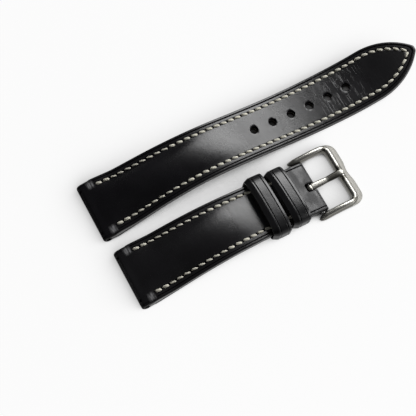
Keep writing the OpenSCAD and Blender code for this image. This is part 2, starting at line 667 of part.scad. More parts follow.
// Coil between the tips
coil_half = flange_out - flange_l - run_gap;
coil_r = flange_r - spring_wire / 2;
coil_sides = 5;
coil_steps = 8;
coil_rings = spring_turns * coil_steps;
coil_rise = 2 * (coil_half - spring_wire / 2);
function coil_ring(i) =
    let (a = 360 * i / coil_steps, y = coil_rise * (i / coil_rings - 0.5), out = [cos(a), 0, sin(a)])
    [for (k = [0:coil_sides - 1]) let (t = 360 * k / coil_sides)
        out * (coil_r + spring_wire / 2 * cos(t)) + [0, y - spring_wire / 2 * sin(t), 0]];
module spring_bar_spring() color([0.6, 0.6, 0.62])
    at_bar() through_rings([for (i = [0:coil_rings]) coil_ring(i)]);

long_upper();
long_lining();
long_padding();
long_tape();
long_stitching();
short_upper();
short_lining();
short_padding();
short_tape();
short_stitching();
fixed_keeper();
free_keeper();
free_keeper_staple();
buckle_frame();
buckle_tongue();
spring_bar_tube();
spring_bar_tip_left();
spring_bar_tip_right();
spring_bar_spring();
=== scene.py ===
# Padded leather watch strap in two halves with a pin buckle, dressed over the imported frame
import json
import math

import bmesh
import bpy
from mathutils import Matrix, Vector


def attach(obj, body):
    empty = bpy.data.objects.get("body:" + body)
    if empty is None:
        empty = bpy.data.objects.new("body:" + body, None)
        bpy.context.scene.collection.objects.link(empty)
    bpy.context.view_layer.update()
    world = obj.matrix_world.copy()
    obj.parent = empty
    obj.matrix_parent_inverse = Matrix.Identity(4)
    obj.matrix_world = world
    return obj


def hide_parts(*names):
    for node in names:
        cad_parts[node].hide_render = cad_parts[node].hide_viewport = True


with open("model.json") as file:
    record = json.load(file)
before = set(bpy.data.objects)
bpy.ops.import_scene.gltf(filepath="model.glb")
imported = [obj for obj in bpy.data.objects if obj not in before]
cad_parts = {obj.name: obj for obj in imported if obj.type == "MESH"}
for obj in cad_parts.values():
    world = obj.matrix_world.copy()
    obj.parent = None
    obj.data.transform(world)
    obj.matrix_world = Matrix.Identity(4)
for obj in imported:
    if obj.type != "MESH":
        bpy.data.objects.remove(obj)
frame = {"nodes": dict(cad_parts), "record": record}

print("strap: frame loaded")
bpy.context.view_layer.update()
record = frame["record"]
mounts = {m["name"]: m for m in record["mounts"]}
joints = {j["name"]: j for j in record["behaviour"]["joints"]}
mm = 0.001


# Small helpers

def mix(a, b, share):
    return a + (b - a) * share


def clamp(value, low=0.0, high=1.0):
    return max(low, min(high, value))


def ease(share):
    # 0 to 1 with level ends
    return (1 - math.cos(math.pi * clamp(share))) / 2


def bump(x, reach):
    # 1 at the middle, 0 from reach on
    return (1 + math.cos(math.pi * x / reach)) / 2 if abs(x) < reach else 0.0


def dip(x, middle, width, depth):
    share = abs(x - middle) / (width / 2)
    return depth * (1 + math.cos(math.pi * share)) / 2 if share < 1 else 0.0


def steps(start, end, count):
    # count + 1 even values from start to end
    return [mix(start, end, i / count) for i in range(count + 1)]


def onList(values, share):
    # a value read along evenly spaced values
    place = clamp(share) * (len(values) - 1)
    i = min(int(place), len(values) - 2)
    return mix(values[i], values[i + 1], place - i)


def onCircle(degrees, radius=1.0, middle=(0.0, 0.0)):
    a = math.radians(degrees)
    return middle[0] + radius * math.cos(a), middle[1] + radius * math.sin(a)


def squarer(value, power):
    # a sine or cosine pushed outwards, for a squarer round
    return math.copysign(abs(value) ** power, value)


def mirrored(points):
    # the same points on the other side
    return [(p[0], -p[1], *p[2:]) for p in points]


def evenly(points, count):
    # the closed line through count points at even distances
    points = points + points[:1]
    lengths = [0.0]
    for a, b in zip(points, points[1:]):
        lengths.append(lengths[-1] + math.dist(a, b))
    result = []
    i = 0
    for k in range(count):
        want = lengths[-1] * k / count
        while i < len(lengths) - 2 and lengths[i + 1] < want:
            i += 1
        share = (want - lengths[i]) / max(1e-9, lengths[i + 1] - lengths[i])
        result.append(tuple(mix(p, q, share) for p, q in zip(points[i], points[i + 1])))
    return result


# Both halves: layers, edges and the sewn line, in millimetres
layers = {
    "lining": 0.9, "tape": 0.2, "glue": 0.02, "upper": 1.1, "gap": 0.03,
    "edgeRound": 0.45, "rollRound": 0.8, "paintTo": 0.15, "lip": 0.985, "sideBulge": 0.05,
    "creaseIn": 0.95, "creaseWidth": 0.42, "creaseDepth": 0.22,
    "stitchIn": 2.4, "grooveWidth": 0.95, "grooveDepth": 0.2, "grooveFade": 1.5,
    "padIn": 3.1, "padSoft": 0.45, "padRound": 2.2, "padCrown": 1.9, "crownAt": 0.3, "liftRun": 9.0,
}
stitch = {"pitch": 2.45, "length": 2.12, "thick": 0.6, "slant": 12.0, "start": 7.0,
          "doubled": 1.5, "worked": 1.42, "workedFrom": 30.0, "lift": 0.26, "sunk": 0.16,
          "rings": 9, "sides": 8, "flat": 0.92, "plump": 3.2, "plies": 0.05, "twist": 150.0, "dive": 0.34}


# Materials

def startMaterial(name, **sockets):
    material = bpy.data.materials.new(name)
    material.use_nodes = True
    shader = material.node_tree.nodes["Principled BSDF"]
    for label, value in sockets.items():
        shader.inputs[label.replace("_", " ")].default_value = value
    return material, shader


def link(material, start, end):
    material.node_tree.links.new(start, end)


def addNode(material, kind, inputs=None, **settings):
    node = material.node_tree.nodes.new(kind)
    for label, value in settings.items():
        setattr(node, label, value)
    for label, value in (inputs or {}).items():
        if isinstance(value, bpy.types.NodeSocket):
            link(material, value, node.inputs[label])
        else:
            node.inputs[label].default_value = value
    return node


def finishWith(material, shader, tone, gloss, normal):
    link(material, tone, shader.inputs["Base Color"])
    link(material, gloss, shader.inputs["Roughness"])
    link(material, normal, shader.inputs["Normal"])
    return material


def objectPlace(material):
    return addNode(material, "ShaderNodeTexCoord").outputs["Object"]


def mapPlace(material, name):
    return addNode(material, "ShaderNodeUVMap", uv_map=name).outputs["UV"]


def partOf(material, vector, letter):
    return addNode(material, "ShaderNodeSeparateXYZ", {"Vector": vector}).outputs[letter]


def mathNode(material, operation, *values):
    return addNode(material, "ShaderNodeMath", dict(enumerate(values)), operation=operation).outputs[0]


def times(material, value, *others):
    for other in others:
        value = mathNode(material, "MULTIPLY", value, other)
    return value


def timesPlus(material, value, share, base):
    return mathNode(material, "MULTIPLY_ADD", value, share, base)


def most(material, value, *others):
    for other in others:
        value = mathNode(material, "MAXIMUM", value, other)
    return value


def offFrom(material, value, middle):
    return mathNode(material, "ABSOLUTE", mathNode(material, "SUBTRACT", value, middle))


def stretch(material, value, low, high, toLow=0.0, toHigh=1.0):
    # value from low..high spread over toLow..toHigh, with soft ends
    node = addNode(material, "ShaderNodeMapRange",
                   {"Value": value, "From Min": low, "From Max": high, "To Min": toLow, "To Max": toHigh},
                   interpolation_type="SMOOTHSTEP")
    return node.outputs["Result"]


def fade(material, value, low, high):
    # 1 up to low, 0 from high
    return stretch(material, value, low, high, 1.0, 0.0)


def noiseNode(material, vector, scale, detail, roughness):
    # the scale is in cells a metre on Object coordinates, and in cells a unit on a scaled map
    node = addNode(material, "ShaderNodeTexNoise",
                   {"Vector": vector, "Scale": scale, "Detail": detail, "Roughness": roughness})
    return node.outputs["Fac"]


def scaled(material, vector, scale, place=(0, 0, 0)):
    node = addNode(material, "ShaderNodeMapping", {"Vector": vector, "Scale": scale, "Location": place})
    return node.outputs["Vector"]


def blendColours(material, share, first, second):
    node = addNode(material, "ShaderNodeMix", {"Factor": share}, data_type="RGBA")
    for socket, value in ((node.inputs[6], first), (node.inputs[7], second)):
        if isinstance(value, bpy.types.NodeSocket):
            link(material, value, socket)
        else:
            socket.default_value = value
    return node.outputs[2]


def bumpNode(material, height, strength, distance, normal=None):
    # the distance is in metres; each bump adds to the one before
    inputs = {"Height": height, "Strength": strength, "Distance": distance}
    if normal is not None:
        inputs["Normal"] = normal
    return addNode(material, "ShaderNodeBump", inputs).outputs["Normal"]


# Wear, and a painted highlight on the lug roll's folds, by places on the strap's map in millimetres
# the pale tone is a painted highlight on the pinched folds, and also the tone of the rubbed wear beside the
# buckle
foldHighlightAndRub = {"at": 4.4, "run": (0.5, 1.5), "sideFrom": (6.3, 7.8), "sideTo": (8.5, 9.5),
           "tone": (0.42, 0.42, 0.43, 1), "share": 0.75}
buckled = {"middle": 88.5, "run": (2.0, 12.0), "faint": (34.0, 44.0, 0.10, 0.0), "inside": (5.0, 7.5),
           "hole": (89.0, -0.9, 0), "holeRun": (0.3, 1.3), "tone": (0.16, 0.16, 0.165, 1), "share": 0.35}
rubbedEnd = {"from": (55.0, 56.5), "keeperFrom": (34.0, 41.0, 0.0, 0.4), "share": 0.015}
dulled = {"fold": (0.4, 1.5), "crease": 0.3, "seam": 0.5, "seamFade": 1.5, "loopFrom": 1.0, "loopTo": 2.5,
          "loop": 0.22, "seamShare": 0.55, "slit": (0.33, 0.40), "slitShare": 0.6}
# The keepers run over the edges this far from the middle of the short half, in metres
keeperWear = {"middle": mounts["short_lug_bore"]["pos_m"][1], "run": (0.0078, 0.0092), "shine": (0.75, 0.22)}


def pinchFoldsAndHighlights(material, along, s, away):
    # small folds at the ends of the lug roll; their bump and roughness are real, and the pale tone laid on them
    # is a painted highlight
    near = fade(material, offFrom(material, s, foldHighlightAndRub["at"]), *foldHighlightAndRub["run"])
    side = times(material, stretch(material, away, *foldHighlightAndRub["sideFrom"]),
                 fade(material, away, *foldHighlightAndRub["sideTo"]))
    foldsAndHighlights = noiseNode(material, scaled(material, along, (1.5, 0.28, 1), (5.3, 2.7, 0)), 1.0, 1.5, 0.5)
    return times(material, stretch(material, foldsAndHighlights, 0.40, 0.64, 0.3, 1.0), near, side)


def buckledWear(material, along, s, away, tone):
    # where the long half was buckled: fine creases across it, and a rubbed last hole
    streaks = noiseNode(material, scaled(material, along, (3.4, 0.16, 1)), 1.0, 5.0, 0.62)
    off = offFrom(material, s, buckled["middle"])
    zone = most(material, fade(material, off, *buckled["run"]), stretch(material, off, *buckled["faint"]))
    creases = times(material, stretch(material, streaks, 0.56, 0.70), zone,
                    fade(material, away, *buckled["inside"]))
    toHole = addNode(material, "ShaderNodeVectorMath", {0: along, 1: buckled["hole"]},
                     operation="DISTANCE").outputs["Value"]
    marks = most(material, creases, times(material, fade(material, toHole, *buckled["holeRun"]), 0.6))
    return marks, blendColours(material, times(material, marks, buckled["share"]), tone, buckled["tone"])


def endWear(material, along, s, away, tone):
    # the leather beside the buckle is rubbed dull in patches, right across
    patches = noiseNode(material, scaled(material, along, (0.30, 0.20, 1)), 1.0, 1.5, 0.5)
    rubbed = timesPlus(material, stretch(material, patches, 0.4, 0.6), 0.75, 0.35)
    rubbed = times(material, rubbed, stretch(material, s, *rubbedEnd["from"]))
    # and where the keeper slides it is rubbed a little
    rubbed = most(material, rubbed, stretch(material, s, *rubbedEnd["keeperFrom"]))
    return rubbed, blendColours(material, times(material, rubbed, rubbedEnd["share"]), tone, foldHighlightAndRub["tone"])


def dullPlaces(material, s, half):
    # the folded end, the hot crease and the stitch line are dull black, and the loop's end a little
    inset = partOf(material, mapPlace(material, "edge"), "X")
    sewnTo, pitch = half["sewnTo"], half["pitch"]

    def lineAt(middle, reach):
        return fade(material, offFrom(material, inset, middle), reach * 0.6, reach)
    loop = stretch(material, s, sewnTo + dulled["loopFrom"], sewnTo + dulled["loopTo"], 0.0, dulled["loop"])
    ends = mathNode(material, "ADD", fade(material, s, *dulled["fold"]), loop)
    crease = lineAt(layers["creaseIn"], dulled["crease"])
    seam = times(material, lineAt(layers["stitchIn"], dulled["seam"]),
                 fade(material, s, sewnTo, sewnTo + dulled["seamFade"]))
    # the awl's slits between the stitches take no light
    turn = timesPlus(material, s, 1 / pitch, 0.5 - stitch["start"] / pitch)
    turn = offFrom(material, mathNode(material, "FRACT", turn), 0.5)
    slits = times(material, stretch(material, turn, *dulled["slit"]), seam)
    seam = timesPlus(material, slits, dulled["slitShare"], times(material, seam, dulled["seamShare"]))
    return most(material, crease, seam, ends)


def smoothLeather(name, colour, worn, roughness, half=None):
    # glazed calf: fine pores, broad unevenness, paler rubbed patches
    material, shader = startMaterial(name, Specular_IOR_Level=0.75)
    place = objectPlace(material)
    pores = addNode(material, "ShaderNodeTexVoronoi", {"Vector": place, "Scale": 3200.0, "Smoothness": 0.6},
                    feature="SMOOTH_F1").outputs["Distance"]
    fine = noiseNode(material, place, 1700.0, 4.0, 0.6)
    broad = noiseNode(material, place, 260.0, 3.0, 0.5)
    rubbed = stretch(material, noiseNode(material, place, 90.0, 4.0, 0.55), 0.35, 0.75)
    tone = blendColours(material, rubbed, colour, worn)
    gloss = timesPlus(material, fine, 0.06, timesPlus(material, rubbed, 0.05, roughness))
    normal = bumpNode(material, broad, 0.35, 0.00012)
    normal = bumpNode(material, fine, 0.25, 0.00003, normal)
    normal = bumpNode(material, pores, 0.25, 0.00002, normal)
    if half:
        along = mapPlace(material, "strap")
        s = partOf(material, along, "X")
        away = mathNode(material, "ABSOLUTE", partOf(material, along, "Y"))
        dull = dullPlaces(material, s, half)
        # the glaze grows from one place along the strap to another
        shine = times(material, stretch(material, s, *half["glaze"]), timesPlus(material, dull, -0.93, 1.0))
        marks, tone = half["wear"](material, along, s, away, tone)
        # painted highlight: the pinched folds are blended to a pale grey where they would catch light
        foldsAndHighlights = pinchFoldsAndHighlights(material, along, s, away)
        tone = blendColours(material, times(material, foldsAndHighlights, foldHighlightAndRub["share"]), tone, foldHighlightAndRub["tone"])
        marks = most(material, marks, foldsAndHighlights)
        gloss = timesPlus(material, marks, 0.25, timesPlus(material, dull, 0.3, gloss))
        normal = bumpNode(material, marks, 0.5, 0.00006, normal)
    else:
        # the keepers' turned ends are rubbed dull
        reach = offFrom(material, partOf(material, place, "Y"), keeperWear["middle"])
        shine = stretch(material, reach, *keeperWear["run"], *keeperWear["shine"])
    link(material, shine, shader.inputs["Specular IOR Level"])
    return finishWith(material, shader, tone, gloss, normal)


def nubuckLeather(name, colour, worn):
    material, shader = startMaterial(name, Specular_IOR_Level=0.3)
    place = objectPlace(material)
    fine = noiseNode(material, place, 3000.0, 4.0, 0.65)
    broad = noiseNode(material, place, 220.0, 4.0, 0.55)
    tone = blendColours(material, stretch(material, broad, 0.3, 0.7), colour, worn)
    tone = blendColours(material, times(material, fine, 0.25), tone, worn)
    normal = bumpNode(material, fine, 0.6, 0.00004, bumpNode(material, broad, 0.3, 0.00008))
    return finishWith(material, shader, tone, timesPlus(material, fine, 0.15, 0.62), normal)


def waxedThread(name, light, dark):
    material, shader = startMaterial(name, Specular_IOR_Level=0.35)
    turn = scaled(material, mapPlace(material, "thread"), (2.2, 2.0, 1))
    plies = addNode(material, "ShaderNodeTexWave", {"Vector": turn, "Scale": 1.0, "Distortion": 0.6},
                    wave_type="BANDS", bands_direction="DIAGONAL", wave_profile="SIN").outputs["Fac"]
    fibres = noiseNode(material, objectPlace(material), 5200.0, 3.0, 0.6)
    tone = blendColours(material, timesPlus(material, plies, 0.6, times(material, fibres, 0.4)), dark, light)
    normal = bumpNode(material, mathNode(material, "ADD", plies, fibres), 0.5, 0.00005)
    return finishWith(material, shader, tone, timesPlus(material, fibres, 0.2, 0.5), normal)


def steelFinish(name, colour, roughness, grain, direction, paintedShadeTone=None):
    # polished steel has faint haze; its flanks get painted shade, a dark tone for the dark reflections they
    # would show, and only the crown keeps the bright tone; brushed steel has fine lines
    material, shader = startMaterial(name, Metallic=1.0)
    place = objectPlace(material)
    lines = noiseNode(material, scaled(material, place, direction), 1.0, 4.0, 0.7)
    cloud = noiseNode(material, place, 420.0, 3.0, 0.55)
    tone = blendColours(material, stretch(material, cloud, 0.3, 0.75), colour,
                        tuple(c * 0.93 for c in colour[:3]) + (1,))
    if paintedShadeTone:
        # painted shade: the dark tone on the flanks, the bright one on the crown
        crown = stretch(material, partOf(material, mapPlace(material, "steel"), "Y"), 0.15, 0.78)
        tone = blendColours(material, crown, paintedShadeTone, tone)
    gloss = timesPlus(material, lines, grain, timesPlus(material, cloud, 0.05, roughness))
    normal = bumpNode(material, lines, min(1.0, 0.01 + grain * 2.6), 0.00002)
    return finishWith(material, shader, tone, gloss, normal)


def edgePaint(name, thin, thick):
    # dull black paint on the cut edges, rubbed down in coats
    material, shader = startMaterial(name, Specular_IOR_Level=0.2)
    coats = noiseNode(material, objectPlace(material), 900.0, 3.0, 0.55)
    return finishWith(material, shader, blendColours(material, coats, thin, thick),
                      timesPlus(material, coats, 0.2, 0.4), bumpNode(material, coats, 0.5, 0.00005))


def packedFibres(name, light, dark):
    # loose fibres of the padding and of the tape
    material, shader = startMaterial(name, Specular_IOR_Level=0.2)
    place = objectPlace(material)
    fibres = noiseNode(material, place, 1400.0, 5.0, 0.7)
    clumps = noiseNode(material, place, 300.0, 3.0, 0.5)
    tone = blendColours(material, stretch(material, clumps, 0.25, 0.75), light, dark)
    tone = blendColours(material, times(material, fibres, 0.4), tone, dark)
    return finishWith(material, shader, tone, timesPlus(material, fibres, 0.15, 0.75),
                      bumpNode(material, fibres, 0.7, 0.00008))


# Black calf, and its worn places; each half's glaze runs from one place to another, between two strengths
calf = ((0.006, 0.0056, 0.007, 1), (0.010, 0.0095, 0.0115, 1), 0.22)
longCalf = {"wear": buckledWear, "pitch": 2.4685, "sewnTo": 97.0, "glaze": (30.0, 46.0, 0.4, 0.75)}
shortCalf = {"wear": endWear, "pitch": stitch["pitch"], "sewnTo": 54.5, "glaze": (25.0, 41.0, 0.75, 1.4)}
finishes = {
    "longUpper": smoothLeather("long_upper_calf", *calf, longCalf),
    "shortUpper": smoothLeather("short_upper_calf", *calf, shortCalf),
    "keeper": smoothLeather("keeper_calf", (0.004, 0.004, 0.005, 1), (0.008, 0.008, 0.0095, 1), 0.26),
    "lining": nubuckLeather("lining_nubuck", (0.028, 0.022, 0.018, 1), (0.05, 0.041, 0.034, 1)),
    "edge": edgePaint("edge_paint", (0.003, 0.003, 0.003, 1), (0.008, 0.0075, 0.007, 1)),
    "thread": waxedThread("ecru_thread", (0.93, 0.91, 0.80, 1), (0.78, 0.75, 0.61, 1)),
    "padding": packedFibres("padding_fibre", (0.34, 0.22, 0.13, 1), (0.2, 0.12, 0.07, 1)),
    "tape": packedFibres("tape_fibre", (0.72, 0.70, 0.64, 1), (0.5, 0.48, 0.43, 1)),
    # the polished steel's dark tone on the flanks is painted shade
    "polished": steelFinish("polished_steel", (0.60, 0.59, 0.545, 1), 0.30, 0.012, (90, 900, 900),
                            paintedShadeTone=(0.13, 0.125, 0.11, 1)),
    "brushed": steelFinish("brushed_steel", (0.44, 0.43, 0.40, 1), 0.46, 0.24, (620, 160, 3200)),
    "bar": steelFinish("bar_steel", (0.78, 0.78, 0.77, 1), 0.16, 0.1, (2600, 240, 2600)),
    "staple": steelFinish("staple_steel", (0.66, 0.66, 0.65, 1), 0.2, 0.08, (2200, 300, 2200)),
}
print("strap: finishes made")


# Making pieces

def gridOf(rows, columns, place, marks):
    # a sheet of rows and columns put where place(row, column) says, in millimetres;
    # marks maps the name of a UV map to a function of row and column
    bm = bmesh.new()
    bmesh.ops.create_grid(bm, x_segments=rows - 1, y_segments=columns - 1, size=1)
    spots = {v: (round((v.co.x + 1) / 2 * (rows - 1)), round((v.co.y + 1) / 2 * (columns - 1)))
             for v in bm.verts}
    for name, mark in marks.items():
        layer = bm.loops.layers.uv.new(name)
        for face in bm.faces:
            for loop in face.loops:
                loop[layer].uv = mark(*spots[loop.vert])
    for v, spot in spots.items():
        v.co = Vector(place(*spot)) * mm
    return bm


def closeUp(bm, distance=0.002):
    # welds the seams and poles, closes the ends and turns the faces outwards
    bmesh.ops.remove_doubles(bm, verts=bm.verts[:], dist=distance * mm)
    ends = [e for e in bm.edges if e.is_boundary]
    if ends:
        bmesh.ops.holes_fill(bm, edges=ends, sides=0)
    bmesh.ops.recalc_face_normals(bm, faces=bm.faces[:])


def meshOf(name, bm):
    mesh = bpy.data.meshes.new(name)
    bm.to_mesh(mesh)
    bm.free()
    return mesh


def addPart(bm, part, matrix=None):
    # puts another bmesh into this one
    if matrix:
        bmesh.ops.transform(part, matrix=matrix, verts=part.verts[:])
    mesh = meshOf("part", part)
    bm.from_mesh(mesh)
    bpy.data.meshes.remove(mesh)


def spun(profile, axis, count, closed=False):
    # a full turn of (distance, height) points about an axis
    bm = bmesh.new()
    upright = axis == "Z"
    chain = [bm.verts.new((r * mm, 0, h * mm) if upright else (r * mm, h * mm, 0)) for r, h in profile]
    ends = chain[1:] + chain[:1] if closed else chain[1:]
    edges = [bm.edges.new(pair) for pair in zip(chain, ends)]
    bmesh.ops.spin(bm, geom=chain + edges, axis=(0, 0, 1) if upright else (0, 1, 0), cent=(0, 0, 0),
                   angle=2 * math.pi, steps=count, use_merge=True)
    closeUp(bm)
    return bm


def toObject(name, bm, *materials, sharp=38):
    for face in bm.faces:
        face.smooth = True
    for edge in bm.edges:
        edge.smooth = len(edge.link_faces) == 2 and edge.calc_face_angle(0) < math.radians(sharp)
    mesh = meshOf(name, bm)
    for material in materials:
        mesh.materials.append(material)
    piece = bpy.data.objects.new(name, mesh)
    bpy.context.scene.collection.objects.link(piece)
    return piece


def bakeModifiers(piece):
    depsgraph = bpy.context.evaluated_depsgraph_get()
    mesh = bpy.data.meshes.new_from_object(piece.evaluated_get(depsgraph))
    piece.modifiers.clear()
    piece.data = mesh


def cutWith(cutter, *pieces):
    # takes the cutter out of the pieces, then drops it
    for piece in pieces:
        cut = piece.modifiers.new("cut", "BOOLEAN")
        cut.operation = "DIFFERENCE"
        cut.solver = "EXACT"
        cut.object = cutter
        bakeModifiers(piece)
    mesh = cutter.data
    bpy.data.objects.remove(cutter)
    bpy.data.meshes.remove(mesh)


# The lug roll: the folded end of a half, and where its body starts behind it
upperUnder = layers["lining"] + layers["tape"] + 2 * layers["glue"]
flatHeight = upperUnder + layers["upper"]
roll = {"height": 3.3, "bore": 0.9, "from": 3.1, "to": 4.5, "roundRun": 2.0, "sheetTo": 4.25, "halfWidth": 9.8,
        "backFrom": 4.2, "backRun": 2.0, "bodyFrom": 4.6, "bodyRun": 1.4,
        "pinchAt": 4.1, "pinchWidth": 1.5, "pinchDepth": 0.22, "pinchRun": 3.5}
rollRadius = roll["height"] / 2
rollRise = roll["height"] - flatHeight
bodyHalf = 9.8

# The two halves; slopes are the knots of the waved line, in degrees
longHalf = {
    "isLong": True, "length": 115.0, "slopes": [9, 14, 3, -9, -10, -4, 3, 16, 8], "padEnd": 54.0,
    "slopeFrom": 4.25, "slopeTo": 115.0, "grooveTo": 200.0,
    "neckHalf": 8.3, "neckAt": 57.0, "flareHalf": 8.75, "flareRun": 5.0, "tipLength": 16.5, "tipRound": 1.2,
    "mount": mounts["long_lug_bore"],
}
longHalf["tipFrom"] = longHalf["length"] - longHalf["tipLength"]
longHalf["flatTo"] = longHalf["layerTo"] = longHalf["tipFrom"]
shortHalf = {
    "isLong": False, "length": 67.0, "slopes": [11, 14, 6, -3.5, -7.5, -10.5], "padEnd": 49.0,
    "slopeFrom": 4.25, "slopeTo": 58.0, "grooveTo": 55.0, "sewnTo": 54.6,
    "endHalf": 8.4, "flatTo": 56.5, "layerTo": 57.55, "loopFrom": 58.0, "barAt": 62.5,
    "mount": mounts["short_lug_bore"],
}


# The waved line that a half lies over
waved = {"step": 0.25, "beyond": 3, "blend": 3.0, "blendSteps": 6}


def knotSlope(half, s):
    return onList(half["slopes"], (s - half["slopeFrom"]) / (half["slopeTo"] - half["slopeFrom"]))


def layWave(half):
    step, ways = waved["step"], waved["blendSteps"]
    spread = [waved["blend"] * k / ways for k in range(-ways, ways + 1)]
    slopes = [sum(knotSlope(half, (i + 0.5) * step + d) for d in spread) / len(spread)
              for i in range(int((half["length"] + waved["beyond"]) / step))]
    line = [(0.0, 0.0)]
    for angle in slopes:
        line.append(onCircle(angle, step, line[-1]))
    half["line"] = line
    half["lineSlopes"] = [slopes[0]] + [(a + b) / 2 for a, b in zip(slopes, slopes[1:])] + [slopes[-1]]
    angle = math.radians(half["lineSlopes"][0])
    bore = [c / mm for c in half["mount"]["pos_m"]]
    half["origin"] = (bore[0] - rollRadius * (math.cos(angle) - math.sin(angle)), bore[1],
                      bore[2] - rollRadius * (math.sin(angle) + math.cos(angle)))


layWave(longHalf)
layWave(shortHalf)


def alongLine(values, s):
    # the two values beside a place on the line, and the share between them
    place = max(0.0, s / waved["step"])
    i = min(int(place), len(values) - 2)
    return values[i], values[i + 1], place - i


def slopeAt(half, s):
    return math.radians(mix(*alongLine(half["lineSlopes"], s)))


def lay(half, s, y, h):
    # strip point: s along, y across, h above the lining's underside
    a, b, share = alongLine(half["line"], s)
    x, z = (mix(p, q, share) for p, q in zip(a, b))
    angle = slopeAt(half, s)
    ox, oy, oz = half["origin"]
    return ox + x - h * math.sin(angle), oy + y, oz + z + h * math.cos(angle)


def stripFrame(half, s, y=0.0, h=0.0):
    # matrix in metres: X along the strap, Y across, Z out of it
    return Matrix.Translation(Vector(lay(half, s, y, h)) * mm) @ Matrix.Rotation(-slopeAt(half, s), 4, "Y")


# The shape of a half: its width, its padded crown and the relief of its face

def halfWidth(half, s):
    if not half["isLong"]:
        share = (max(s, half["slopeFrom"]) - half["slopeFrom"]) / (half["loopFrom"] - half["slopeFrom"])
        width = mix(bodyHalf, half["endHalf"], min(1.0, share))
    elif s < half["neckAt"]:
        share = (half["neckAt"] - max(s, half["slopeFrom"])) / (half["neckAt"] - half["slopeFrom"])
        width = mix(half["neckHalf"], bodyHalf, share ** 2)
    else:
        run = half["tipFrom"] - half["neckAt"] - half["flareRun"]
        width = mix(half["neckHalf"], half["flareHalf"], ease((s - half["neckAt"]) / run))
    return mix(roll["halfWidth"], width, ease((s - roll["from"]) / (roll["to"] - roll["from"])))


def crest(half, s):
    top = half["padEnd"] * layers["crownAt"]
    if s < top:
        share = max(0.0, (s - roll["from"]) / (top - roll["from"]))
        return mix(rollRise, layers["padCrown"], math.sin(math.pi / 2 * share))
    return layers["padCrown"] * (1 - ease((s - top) / (half["padEnd"] - top)))


def softRamp(x, width):
    if x <= -width:
        return 0.0
    return x if x >= width else (x + width) ** 2 / (4 * width)


def across(inset, width):
    share = softRamp(inset - layers["padIn"], layers["padSoft"]) / (width - layers["padIn"])
    return 1 - (1 - min(1.0, share)) ** layers["padRound"]


def edgeLift(s):
    return rollRise * (1 - ease((s - roll["sheetTo"]) / layers["liftRun"]))


def creaseDip(inset):
    return dip(inset, layers["creaseIn"], layers["creaseWidth"], layers["creaseDepth"])


def seamDip(inset):
    return dip(inset, layers["stitchIn"], layers["grooveWidth"], layers["grooveDepth"])


def faceHeight(half, s, inset, width):
    # height of the upper's face over the underside of the lining
    body = ease((s - roll["bodyFrom"]) / roll["bodyRun"])
    rise = across(inset, width)
    relief = creaseDip(inset) * body
    relief += seamDip(inset) * (body * (1 - ease((s - half["grooveTo"]) / layers["grooveFade"])))
    pinch = dip(s, roll["pinchAt"], roll["pinchWidth"], roll["pinchDepth"])
    relief += pinch * (1 - ease(inset / roll["pinchRun"]))
    return flatHeight + crest(half, s) * rise + edgeLift(s) * (1 - rise) - relief


def backHeight(half, s, inset, width, innerH):
    # hidden face of the upper, raised over the padding where there is some
    if s is None or innerH > upperUnder + 0.005 or s > half["padEnd"]:
        return innerH
    return innerH + crest(half, s) * across(inset, width) * ease((s - roll["backFrom"]) / roll["backRun"])


# Insets of a half row, from the side wall to the middle line; the first ones lie on the rounded edge
roundTurns = [0, 15, 32, 50, 70, 90]
flatInsets = [0.62, 0.71, 0.80, 0.86, 0.92, 0.98, 1.04, 1.13, 1.4, 1.7, 1.93, 2.08, 2.22, 2.32, 2.4, 2.48, 2.58,
              2.72, 2.87, 3.05, 3.3, 3.7]
innerShares = [0.12, 0.26, 0.42, 0.6, 0.8, 1.0]
sideShares = [0.35, 0.7]
underInsets = [0.10, 0.5, 3.0]
smallRound = 0.5  # a rounding up to this leaves the flat insets where they are


def faceInsets(width, radius):
    # (inset, depth of the rounding) for half of the face
    last = flatInsets[-1]
    squeeze = (last - radius - 0.05) / (last - smallRound)
    result = []
    for turn in roundTurns:
        x, z = onCircle(turn)
        result.append((radius * (1 - x), radius * (1 - z)))
    for inset in flatInsets:
        result.append((inset if radius < smallRound else last - (last - inset) * squeeze, 0.0))
    for share in innerShares:
        result.append((mix(last, width, share), 0.0))
    return result


def tipArc(half, inset):
    # side of the leaf-shaped tip: its radius, how far the centre lies past the middle line, and its whole turn
    run = half["tipLength"] + half["tipRound"] / 2
    big = (run ** 2 + half["flareHalf"] ** 2) / (2 * half["flareHalf"])
    past = big - half["flareHalf"]
    radius = big - inset
    return radius, past, math.acos(min(1.0, past / radius))


def tipPlace(half, turn, inset):
    # offset curve of the tip: turn goes from 0 at its start to 1 at the point
    radius, past, full = tipArc(half, inset)
    angle = turn * full
    y = 0.0 if turn >= 1 else radius * math.cos(angle) - past
    blunt = half["tipRound"] * 0.5 * max(0.0, 1 - y / half["tipRound"]) ** 2 * (1 - inset / half["flareHalf"])
    return half["tipFrom"] + radius * math.sin(angle) - blunt, max(0.0, y)


def tipTurns(count):
    # closer together towards the point
    return [1 - (1 - k / count) ** 1.35 for k in range(1, count + 1)]


# Loop of the short half round the buckle's bar
barLoop = {"bar": 0.8, "wall": 1.1, "rise": 0.15, "sheetFrom": 57.0, "sheetTo": 57.6, "sheetGap": 0.01,
           "bend": 1.7, "lead": 1.6, "slotBack": 1.95, "slotWidth": 2.8, "slotRound": 0.6, "slotDeep": 3.0}
barLoop["middle"] = flatHeight + barLoop["rise"] - barLoop["bar"] - barLoop["wall"]
rowCounts = {"end": 3, "side": 5, "round": 20, "over": 12, "under": 10, "tip": 40, "layerTip": 30}
rowStep = 0.45


def roundRow(middle, outer, inner, degrees):
    # a row of leather that runs round a bore
    x, z = onCircle(degrees)
    return onCircle(degrees, outer, middle), (-x, -z), onCircle(degrees, inner, middle), None


